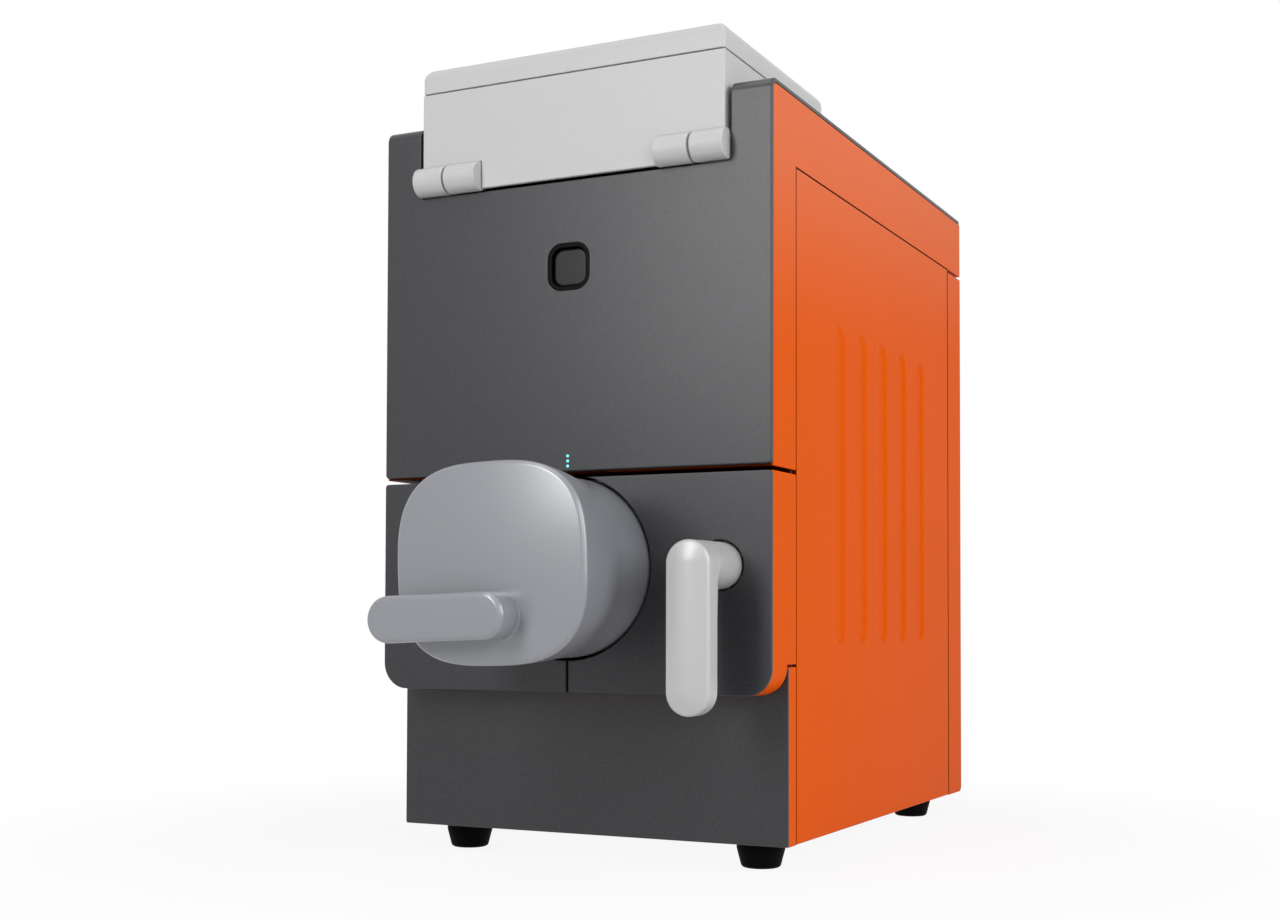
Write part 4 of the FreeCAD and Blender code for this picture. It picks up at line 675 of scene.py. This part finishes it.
def make_cover():
    """The unrolled sheet with its notch, the button's window and three light holes, wrapped."""
    sheet = rectangle(-HALF_WIDTH, HALF_WIDTH, 0, sheet_end, SHEET_CORNER)
    notch_end = bend_end + NOTCH_BACK - BEND
    notch = rectangle(-NOTCH_HALF, NOTCH_HALF, NOTCH_BOTTOM - COVER_BOTTOM, notch_end, NOTCH_CORNER)
    low, high = (BUTTON_Z - COVER_BOTTOM + shift for shift in (-BEZEL_HALF, BEZEL_HALF))
    window = rectangle(-BEZEL_HALF, BEZEL_HALF, low, high, BEZEL_CORNER)
    loops = [(split_sides(sheet, bend_rows), *SHEET_RIM),
             (split_sides(notch, bend_rows)[::-1], *NOTCH_RIM), (window[::-1], *WINDOW_RIM)]
    for step in (-1, 0, 1):
        centre = (0, LIGHT_Z - COVER_BOTTOM + step * LIGHT_PITCH)
        loops.append((circle_hole(centre, LIGHT_RADIUS, LIGHT_POINTS), *LIGHT_RIM))
    points, faces = plate(loops, SHEET, wrapped, bend_rows)
    return put_piece("grey_cover", points, faces, "upper_cover")


cover = make_cover()
print("cover:", len(cover.data.polygons), "faces")

# %% [markdown]
# ### The power button
# The button sits in a black frame that is let into the cover. Both are stacks of rounded
# squares: the frame's rings start on the pocket's floor, come up over the lip and go down the
# outside, and the button's go over its soft edge. Its face is plain.

# %% Button and frame
def square_ring(half, corner, depth):
    """A rounded square about the button's middle, at one depth."""
    loop = rectangle(-half, half, BUTTON_Z - half, BUTTON_Z + half, corner, steps=12)
    return np.column_stack((loop[:, 0], np.full(len(loop), depth), loop[:, 1]))


def inner_lip(half, corner, front, radius):
    """Rings that come up out of a pocket and turn outward onto the face at the front."""
    return [square_ring(half + radius * (1 - cosine), corner + radius * (1 - cosine),
                        front + radius * (1 - sine)) for sine, cosine in quarter(LIP_RINGS)]


def outer_edge(half, corner, front, radius):
    """Rings that turn from the face at the front down onto the outer side."""
    return [square_ring(half - radius * (1 - sine), corner - radius * (1 - sine),
                        front + radius * (1 - cosine)) for sine, cosine in quarter(LIP_RINGS)]


FRAME_CLEAR, LIP, LIP_RINGS = 0.1, 0.5, 7
FRAME_HALF, FRAME_CORNER = BEZEL_HALF - FRAME_CLEAR, BEZEL_CORNER - FRAME_CLEAR
FRAME_FRONT, FRAME_BACK = low_mm("button_bezel")[1], high_mm("button_bezel")[1]
POCKET_HALF, POCKET_CORNER, POCKET_FLOOR = 11.7, 6.9, 9.6
BUTTON_HALF, BUTTON_CORNER, BUTTON_SOFT = 11.3, 6.5, 1.7
BUTTON_FRONT, BUTTON_BACK = low_mm("power_button")[1], high_mm("power_button")[1]

rings = [square_ring(POCKET_HALF, POCKET_CORNER, POCKET_FLOOR)]
rings += inner_lip(POCKET_HALF, POCKET_CORNER, FRAME_FRONT, LIP)
rings += outer_edge(FRAME_HALF, FRAME_CORNER, FRAME_FRONT, LIP)
rings.append(square_ring(FRAME_HALF, FRAME_CORNER, FRAME_BACK))
put_piece("button_frame", *stack(rings), "button_bezel")

rings = outer_edge(BUTTON_HALF, BUTTON_CORNER, BUTTON_FRONT, BUTTON_SOFT)
rings.append(square_ring(BUTTON_HALF, BUTTON_CORNER, BUTTON_BACK))
button = put_piece("button_cap", *stack(rings), "power_button", material=FINISHES["button_face"])
print("button:", len(button.data.polygons), "faces")

# %% [markdown]
# ## The front plates and the plinth
# Two grey plates lie on the orange moulding and meet in a narrow seam below the drum. Each is
# bitten away by the drum's hole, so its outline follows the hole's circle from the seam round
# to the top edge. The right plate also has the round hole of the lever.

# %% Front plates
PLATE_TOP = FASCIA_TOP + GROOVE_RAISE
DRUM_HOLE, SEAM, PLATE_SHEET = 54.8, 0.9, 2.0
PLATE_CORNER, PLATE_SHOULDER, LEVER_HOLE = 16.0, 2.0, 14.7
PLATE_RIM, HOLE_RIM = (0.7, 0.1), (0.5, 0.1)
PLINTH_CORNER, PLINTH_RIM = 1.2, (0.5, 0.1)
BITE_STEPS, CORNER_STEPS, SHOULDER_STEPS, HOLE_POINTS = 64, 16, 5, 60


def front_plate(side):
    """The outline of the left (-1) or right (1) plate, counter-clockwise."""
    low = math.degrees(math.asin(SEAM / DRUM_HOLE))
    high = math.degrees(math.acos(min(1, (PLATE_TOP - DRUM_Z) / DRUM_HOLE)))
    bite = arc((0, DRUM_Z), DRUM_HOLE, -90 - low, -270 + high, BITE_STEPS)
    outer, bottom = PLATE_CORNER - HALF_WIDTH, FASCIA_BOTTOM + PLATE_CORNER
    corner = arc((outer, bottom), PLATE_CORNER, 180, 270, CORNER_STEPS)
    outer, top = PLATE_SHOULDER - HALF_WIDTH, PLATE_TOP - PLATE_SHOULDER
    shoulder = arc((outer, top), PLATE_SHOULDER, 90, 180, SHOULDER_STEPS)
    left = np.vstack((corner, [(-SEAM, FASCIA_BOTTOM)], bite, shoulder))
    return left if side < 0 else (left * (-1, 1))[::-1]


for side, label in ((-1, "left"), (1, "right")):
    loops = [(front_plate(side), *PLATE_RIM)]
    if side > 0:
        loops.append((circle_hole((LEVER_X, LEVER_Z), LEVER_HOLE, HOLE_POINTS), *HOLE_RIM))
    points, faces = plate(loops, PLATE_SHEET, facing_front())
    piece = put_piece(f"front_plate_{label}", points, faces, f"fascia_panel_{label}")
    print(piece.name, len(faces), "faces")

(left, front, bottom), (right, back, top) = low_mm("plinth_panel"), high_mm("plinth_panel")
outline = rectangle(left, right, bottom, top, PLINTH_CORNER)
points, faces = plate([(outline, *PLINTH_RIM)], back - front, facing_front(front))
put_piece("plinth_sheet", points, faces, "plinth_panel")

# %% [markdown]
# ## The orange side panels
# Each side is one pressed sheet. Its five upright beads stiffen it. A bead is sunk where a
# point lies nearer to its middle line than its radius, and a smooth step makes the slope, so
# the panel is one grid with a depth worked out from distances. The grid's lines crowd where
# the slopes are and stay apart on the flat.

# %% Side panels
PANEL_WALL, PANEL_EDGE, EDGE_LINES = 3.0, 0.8, 6
PANEL_TRIM = np.array([0, 0.4, 0.15])
BEAD_RADIUS, BEAD_PITCH, BEAD_DEPTH, BEAD_SLOPE = 9.0, 42.0, 1.5, 5.0
BEAD_FROM_BOTTOM, BEAD_FROM_TOP = 124, 90.5
BEAD_END, END_REACH, SLOPE_REACH = 4, 9.0, 0.7 * BEAD_SLOPE
SIDE_STEPS, UP_STEPS = (0.5, 3.0), (0.7, 8.0)
panel_low, panel_high = PANEL_LOW + PANEL_TRIM, PANEL_HIGH - PANEL_TRIM
bead_low, bead_high = panel_low[2] + BEAD_FROM_BOTTOM, panel_high[2] - BEAD_FROM_TOP
bead_lines = (panel_low[1] + panel_high[1]) / 2 + BEAD_PITCH * np.arange(-2, 3)


def smooth_step(value):
    """0 below 0, 1 above 1, and 3v squared minus 2v cubed between."""
    value = np.clip(value, 0, 1)
    return value * value * (3 - 2 * value)


def panel_depth(along, up):
    """How far the pressed sheet lies below its flat face."""
    past = np.clip(up, bead_low, bead_high)
    reach = [np.hypot(along - line, up - past) for line in bead_lines]
    sunk = smooth_step(0.5 - (np.min(reach, axis=0) - BEAD_RADIUS) / BEAD_SLOPE)
    edge = np.minimum.reduce([along - panel_low[1], panel_high[1] - along,
                              up - panel_low[2], panel_high[2] - up])
    short = np.clip(PANEL_EDGE - edge, 0, PANEL_EDGE)
    return BEAD_DEPTH * sunk + PANEL_EDGE - np.sqrt(PANEL_EDGE ** 2 - short ** 2)


def crowded(low, high, marks, reach, fine, coarse):
    """Grid lines: fine ones within reach of each mark, coarse ones elsewhere."""
    lines = [np.linspace(low, high, int((high - low) / coarse) + 1)]
    lines += [np.arange(mark - reach, mark + reach, fine) for mark in marks]
    edge = PANEL_EDGE * (1 - np.cos(np.radians(np.linspace(0, 90, EDGE_LINES))))
    lines += [low + edge, high - edge]
    every = np.unique(np.round(np.concatenate(lines), 3))
    return every[(every >= low) & (every <= high)]


def make_side_panel(side, label):
    """The pressed grid, four walls from its border, and one flat face behind."""
    slopes = [line + sign * BEAD_RADIUS for line in bead_lines for sign in (-1, 1)]
    along = crowded(panel_low[1], panel_high[1], slopes, SLOPE_REACH, *SIDE_STEPS)
    ends = (bead_low - BEAD_END, bead_high + BEAD_END)
    up = crowded(panel_low[2], panel_high[2], ends, END_REACH, *UP_STEPS)
    y, z = np.meshgrid(along, up)
    depth = panel_depth(y, z)
    rows, columns = y.shape
    face = np.column_stack((side * (HALF_WIDTH - depth.ravel()), y.ravel(), z.ravel()))
    number = np.arange(rows * columns).reshape(rows, columns)
    border = np.concatenate((number[0, :-1], number[:-1, -1],
                             number[-1, :0:-1], number[:0:-1, 0]))
    back = face[border] * (0, 1, 1) + (side * (HALF_WIDTH - PANEL_WALL), 0, 0)
    ring = rows * columns + np.arange(len(border))
    quads = (number[:-1, :-1], number[:-1, 1:], number[1:, 1:], number[1:, :-1])
    quads = np.stack(quads, axis=-1).reshape(-1, 4)
    walls = np.column_stack((np.roll(border, -1), border, ring, np.roll(ring, -1)))
    faces = quads.tolist() + walls.tolist() + [ring[::-1].tolist()]
    if side < 0:
        faces = [corners[::-1] for corners in faces]
    points = np.vstack((face, back))
    return put_piece(f"pressed_panel_{label}", points, faces, f"side_panel_{label}")


for side, label in ((-1, "left"), (1, "right")):
    panel = make_side_panel(side, label)
    print(panel.name, len(panel.data.polygons), "faces")

# %% [markdown]
# ## The door drum
# The drum is round where it enters the cabinet and grows into a soft square at its front. A
# cross-section is a superellipse: the distance from the axis at each angle follows from the
# two half widths and an exponent, where 2 gives an ellipse and larger values give a squarer
# form. Along the drum the half widths and the exponent change smoothly. The profile then
# turns over a small round rim onto a face that is part of a large sphere, and behind, it
# goes back into the bore.

# %% Drum
DRUM_BASE, DRUM_HALF_X, DRUM_HALF_Z, DRUM_SQUARE = 53.1, 60.0, 56.0, 2.95
DRUM_FRONT, DRUM_ROOT = low_mm("door_drum")[1], low_mm("door_flange")[1]
DRUM_NECK, DRUM_DOME, DRUM_RIM, DRUM_BORE, DRUM_SKIN = -12.0, 700.0, 3.0, 43.0, 19.5
DRUM_TURN = math.radians(1.5)
SWELL_SMOOTH, SWELL_STRAIGHT = 0.6, 0.4
SIDES, FACE_RINGS, RIM_RINGS, SIDE_RINGS = 192, 14, 6, 40
angle = 2 * math.pi * np.arange(SIDES) / SIDES


def drum_radius(back):
    """The drum's radius at each angle, at one depth. The swell is 0 at the neck, 1 in front."""
    forward = (DRUM_NECK - back) / (DRUM_NECK - DRUM_FRONT)
    swell = SWELL_SMOOTH * smooth_step(forward) + SWELL_STRAIGHT * np.clip(forward, 0, 1)
    wide = DRUM_BASE + (DRUM_HALF_X - DRUM_BASE) * swell
    tall = DRUM_BASE + (DRUM_HALF_Z - DRUM_BASE) * swell
    square = 2 + (DRUM_SQUARE - 2) * swell
    turned = angle - DRUM_TURN * swell
    powers = (np.abs(np.cos(turned) / wide) ** square, np.abs(np.sin(turned) / tall) ** square)
    return sum(powers) ** (-1 / square)


def dome(radius):
    """Depth of the front face: a sphere that touches the foremost point on the axis."""
    return DRUM_FRONT + DRUM_DOME - np.sqrt(DRUM_DOME ** 2 - radius ** 2)


def round_ring(radius, back):
    """A ring about the drum's axis."""
    back = np.broadcast_to(back, (SIDES,))
    return np.column_stack((radius * np.cos(angle), back, DRUM_Z + radius * np.sin(angle)))


def make_drum():
    """Rings over the domed face, round the rim, along the side, and back into the bore. What
    the rim has over the side's own radius fades with the cube of the way left to the root."""
    front_radius = drum_radius(DRUM_FRONT)
    face_radius = front_radius - DRUM_RIM
    face_depth = dome(face_radius)
    rings = []
    for share in np.linspace(0.04, 1, FACE_RINGS):
        rings.append(round_ring(share * face_radius, dome(share * face_radius)))
    for sine, cosine in quarter(RIM_RINGS, start=15):
        radius = face_radius + DRUM_RIM * sine
        rings.append(round_ring(radius, face_depth + DRUM_RIM * (1 - cosine)))
    side_start = face_depth + DRUM_RIM
    excess = front_radius - drum_radius(float(side_start.mean()))
    for share in np.linspace(0, 1, SIDE_RINGS)[1:]:
        back = side_start + (DRUM_ROOT - side_start) * share
        radius = drum_radius(float(back.mean())) + excess * (1 - share) ** 3
        rings.append(round_ring(radius, back))
    bore_end = DRUM_FRONT + DRUM_SKIN
    rings += [round_ring(np.full(SIDES, DRUM_BORE), back) for back in (DRUM_ROOT, bore_end)]
    centres = ((0, DRUM_FRONT, DRUM_Z), (0, bore_end, DRUM_Z))
    return put_piece("drum", *stack(rings, centres), "door_drum")


drum = make_drum()
print("drum:", len(drum.data.polygons), "faces")

# %% [markdown]
# ## Grip and lever
# Both are the same kind of thing: a flat arm with round ends, a crowned front, and a round
# stalk behind one end that flows into the arm. One skin can do it all. Every ring is a
# stadium outline (two half circles about two centres, with straight sides), and from ring to
# ring its radius, its length and its depth change: first over the crowned front and round the
# edge, then down the side, in along the back, and out along the stalk. Near the stalk the back
# edge stays full, so the arm runs straight into it there.

# %% Arm and stalk
ARC_POINTS, SIDE_POINTS = 25, 12
CROWN_RINGS, EDGE_RINGS, FILLET_RINGS, FLARE_RINGS = 12, 6, 10, 7
STALK_ZONE, STALK_FADE, BACK_STEP = 4, 20, 0.05


def stadium_base():
    """Directions round a stadium, and how far along the arm each point lies (0 hub, 1 end)."""
    near = np.radians(np.linspace(0, 180, ARC_POINTS))
    far = np.radians(np.linspace(180, 360, ARC_POINTS))
    straight = np.linspace(0, 1, SIDE_POINTS + 2)[1:-1]
    level = np.full(SIDE_POINTS, math.pi)
    turn = np.concatenate((near, level, far, 2 * level))
    share = np.concatenate((np.zeros(ARC_POINTS), straight, np.ones(ARC_POINTS), straight[::-1]))
    return np.cos(turn), np.sin(turn), share


def arm_rings(half, long, front, thick, crown, edge, back_edge, fillet, stalk, stalk_end, flare):
    """Rings of (across, along, depth) of an arm that points down from a hub at (0, 0)."""
    side_x, side_z, share = stadium_base()
    lowness = smooth_step((share * long - STALK_ZONE) / STALK_FADE)
    rings = []

    def ring(radius, length, depth):
        depth = np.broadcast_to(depth, share.shape)
        rings.append(np.column_stack((radius * side_x, radius * side_z - share * length, depth)))

    face = half - edge
    for radius in face * np.linspace(0.02, 1, CROWN_RINGS):
        ring(radius, long, front + crown * (radius / half) ** 2)
    edge_start = front + crown * (face / half) ** 2
    for sine, cosine in quarter(EDGE_RINGS, start=15):
        ring(face + edge * sine, long, edge_start + edge * (1 - cosine))
    back = front + thick
    for sine, cosine in quarter(EDGE_RINGS):
        inward = back_edge * lowness * (1 - cosine)
        ring(half - inward, long, back - back_edge * (1 - sine))
    for sine, cosine in quarter(FILLET_RINGS):
        depth = back + fillet * (1 - cosine) + BACK_STEP
        ring(half + (stalk - half) * sine, fillet * (1 - sine), depth)
    for sine, cosine in quarter(FLARE_RINGS) if flare else ():
        room = stalk_end - flare > back + fillet
        depth = stalk_end - flare + flare * sine if room else stalk_end
        ring(stalk + flare * (1 - cosine), 0, depth)
    ring(stalk + flare, 0, stalk_end)
    return rings


def arm_skin(rings, hub, heading):
    """Closes the rings into one skin and turns the arm about its hub, in degrees from down."""
    points, faces = stack(rings)
    sine, cosine = math.sin(math.radians(heading)), math.cos(math.radians(heading))
    across = points[:, 0] * cosine + points[:, 1] * sine
    up = points[:, 1] * cosine - points[:, 0] * sine
    return np.column_stack((hub[0] + across, points[:, 2], hub[1] + up)), faces

# %% [markdown]
# ### The lever
# The lever hangs straight down from its boss, so its heading is zero. The crown is the height
# by which its front swells, and the edges are rolled over along the whole arm.

# %% Lever
rings = arm_rings(half=13.1, long=70.2, front=-46.5, thick=15.0, crown=2.6, edge=2.4,
                  back_edge=1.6, fillet=9.0, stalk=13.3, stalk_end=1.5, flare=0)
points, faces = arm_skin(rings, (LEVER_X, LEVER_Z), heading=0)
lever = put_piece("lever_arm", points, faces, "lever_handle", sharp=50)
print("lever:", len(lever.data.polygons), "faces")

# %% [markdown]
# ### The grip
# The grip lies nearly level: its arm points left and falls by two degrees. Its stalk is short,
# with a small flare where it meets the drum. Its two ends, left and right, were read from the
# photograph, and the arm's length between the centres of its round ends follows from them.

# %% Grip
GRIP_HALF, GRIP_FALL, GRIP_SINK = 13.0, 2.4, 2.0
GRIP_LEFT, GRIP_RIGHT = -66.4, 20.8
GRIP_Z = DRUM_Z - 28.5
grip_long = math.hypot(GRIP_RIGHT - GRIP_LEFT - 2 * GRIP_HALF, GRIP_FALL)

rings = arm_rings(half=GRIP_HALF, long=grip_long, front=low_mm("door_handle")[1], thick=9.5,
                  crown=0.3, edge=2.9, back_edge=1.2, fillet=2.2, stalk=GRIP_HALF,
                  stalk_end=DRUM_FRONT + GRIP_SINK, flare=2.6)
fall = math.degrees(math.asin(GRIP_FALL / grip_long))
points, faces = arm_skin(rings, (GRIP_RIGHT - GRIP_HALF, GRIP_Z), heading=90 - fall)
grip = put_piece("hand_grip", points, faces, "door_handle", sharp=50)
print("grip:", len(grip.data.polygons), "faces")

# %% [markdown]
# ## Softer edges for the cast and folded pieces
# The housing, the rear cover, the lid and the hinge barrels already have the right form in CAD.
# What they lack is the small radius that every painted edge has, which catches the light. The
# CAD mesh itself stays as it is: a copy is welded together, its flat faces are merged, and a
# bevel rounds whatever is sharper than forty degrees. Each width below is in millimetres.

# %% Refined copies
LEVEL_SHIFT = {"fascia_block": (FASCIA_TOP, GROOVE_RAISE),
               "upper_housing": (COVER_BOTTOM, -GROOVE_DROP)}
WELD_METRES, LEVEL_REACH, BEVEL_STEPS = 1e-6, 0.5, 3
FLAT_ANGLE, SHARP_ANGLE = math.radians(0.5), math.radians(40)


def refined(node, width):
    """A welded copy of a CAD node with rounded edges, in its place. LEVEL_SHIFT moves the
    points of one level up or down."""
    soup = bmesh.new()
    soup.from_mesh(frame["nodes"][node].data)
    bmesh.ops.remove_doubles(soup, verts=soup.verts, dist=WELD_METRES)
    if node in LEVEL_SHIFT:
        level, shift = LEVEL_SHIFT[node]
        moved = [vert for vert in soup.verts if abs(vert.co.z / MM - level) < LEVEL_REACH]
        bmesh.ops.translate(soup, verts=moved, vec=(0, 0, shift * MM))
    bmesh.ops.dissolve_limit(soup, angle_limit=FLAT_ANGLE, verts=soup.verts, edges=soup.edges)
    name = f"{node}_finished"
    mesh = bpy.data.meshes.new(name)
    soup.to_mesh(mesh)
    soup.free()
    mesh.materials.append(FINISHES[SLOT_OF[node]])
    obj = settle(name, mesh, node)
    rim = obj.modifiers.new("soft_edges", "BEVEL")
    rim.width = width * MM
    rim.segments = BEVEL_STEPS
    rim.limit_method = "ANGLE"
    rim.angle_limit = SHARP_ANGLE
    obj.modifiers.move(1, 0)
    return obj


EDGE_WIDTHS = {
    "upper_housing": 0.5, "rear_cover": 0.8, "plinth_frame": 0.4, "fascia_block": 0.5,
    "lid_shell": 0.5, "lid_cap": 0.5, "lid_knuckles": 0.7, "body_knuckles": 0.7, "feet": 0.5,
    "fan_frame": 0.3, "mains_inlet": 0.3, "mains_rocker": 0.4, "data_sockets": 0.2,
}
for node, width in EDGE_WIDTHS.items():
    copy = refined(node, width)
    print(copy.name, len(copy.data.polygons), "faces before the bevel")

# %% [markdown]
# ## The stage for the picture
# The photograph is on plain white. The floor is pale and keeps the object's soft shadow, and
# towards the camera both the floor and the world shine plain white. A tall soft key stands at
# the left front and a front lamp at the right front. A lamp above lights the top faces, and a
# strong one on the right lights the orange side. The world adds a little from all around.
# Close to the object a tenth of the floor's white is given up to its real, shaded colour.

# %% Floor and lamps
FLOOR_REACH, FLOOR_GREY, FLOOR_ROUGH = 30.0, 0.86, 0.9
WHITE_NEAR, WHITE_FAR, NEAR, FAR = 0.9, 1.0, 0.2, 0.6
WORLD_LIGHT = 0.025
SEEN_RAYS = ("Camera", "Glossy", "Transmission")
LAMPS = {
    "key": ((-0.30, -1.32, 0.78), (0.05, -0.1, 0.3), (0.3, 0.8), 8.4),
    "front": ((1.3, -1.3, 0.8), (0, -0.1, 0.2), (0.8, 0.8), 7.0),
    "top": ((-0.1, -0.5, 1.75), (0, 0, 0.4), (1.0, 1.0), 6.6),
    "side": ((1.9, 0, 0.9), (0.1, 0.1, 0.2), (0.9, 1.3), 19.6),
}


def show_white(tree, shader_output, share, out):
    """Shows a shader, mixed with plain white where a camera, mirror or glass ray meets it."""
    rays = add_node(tree, "ShaderNodeLightPath").outputs
    seen = folded(tree, "MAXIMUM", *(rays[f"Is {kind} Ray"] for kind in SEEN_RAYS))
    white = add_node(tree, "ShaderNodeEmission", {"Color": (1, 1, 1, 1), "Strength": 1.0})
    mix = {"Fac": math_node(tree, "MULTIPLY", seen, share), 1: shader_output, 2: white.outputs[0]}
    mixed = add_node(tree, "ShaderNodeMixShader", mix).outputs[0]
    set_inputs(tree.nodes[out], {"Surface": mixed})


def make_floor():
    """A large square whose share of plain white grows with the distance from the middle."""
    mesh = bpy.data.meshes.new("floor")
    corners = FLOOR_REACH * np.array([(-1, -1, 0), (1, -1, 0), (1, 1, 0), (-1, 1, 0)])
    mesh.from_pydata(corners.tolist(), [], [(0, 1, 2, 3)])
    floor = bpy.data.objects.new("floor", mesh)
    scene.collection.objects.link(floor)
    material = bpy.data.materials.new("pale_floor")
    material.use_nodes = True
    tree = material.node_tree
    paint = {"Base Color": (FLOOR_GREY, FLOOR_GREY, FLOOR_GREY, 1), "Roughness": FLOOR_ROUGH}
    shader = set_inputs(tree.nodes["Principled BSDF"], paint)
    place = add_node(tree, "ShaderNodeTexCoord").outputs["Object"]
    length = add_node(tree, "ShaderNodeVectorMath", {0: place}, operation="LENGTH")
    fade = {"Value": length.outputs["Value"], "From Min": NEAR, "From Max": FAR,
            "To Min": WHITE_NEAR, "To Max": WHITE_FAR}
    share = add_node(tree, "ShaderNodeMapRange", fade, interpolation_type="SMOOTHSTEP")
    show_white(tree, shader.outputs[0], share.outputs["Result"], "Material Output")
    mesh.materials.append(material)


def make_world():
    """A weak white light from all around, and plain white behind the object."""
    world = bpy.data.worlds.new("studio")
    scene.world = world
    world.use_nodes = True
    tree = world.node_tree
    glow = {"Color": (1, 1, 1, 1), "Strength": WORLD_LIGHT}
    room = set_inputs(tree.nodes["Background"], glow)
    show_white(tree, room.outputs[0], 1.0, "World Output")


def add_lamp(name, place, target, size, power):
    """A rectangular lamp that looks from its place to its target, in metres and watts."""
    lamp = bpy.data.lights.new(name, "AREA")
    lamp.shape = "RECTANGLE"
    lamp.size, lamp.size_y = size
    lamp.energy = power
    obj = bpy.data.objects.new(name, lamp)
    obj.location = place
    aim = Vector(target) - Vector(place)
    obj.rotation_euler = aim.to_track_quat("-Z", "Y").to_euler()
    scene.collection.objects.link(obj)


make_floor()
make_world()
for name, lamp in LAMPS.items():
    add_lamp(name, *lamp)
print("lamps:", ", ".join(LAMPS))
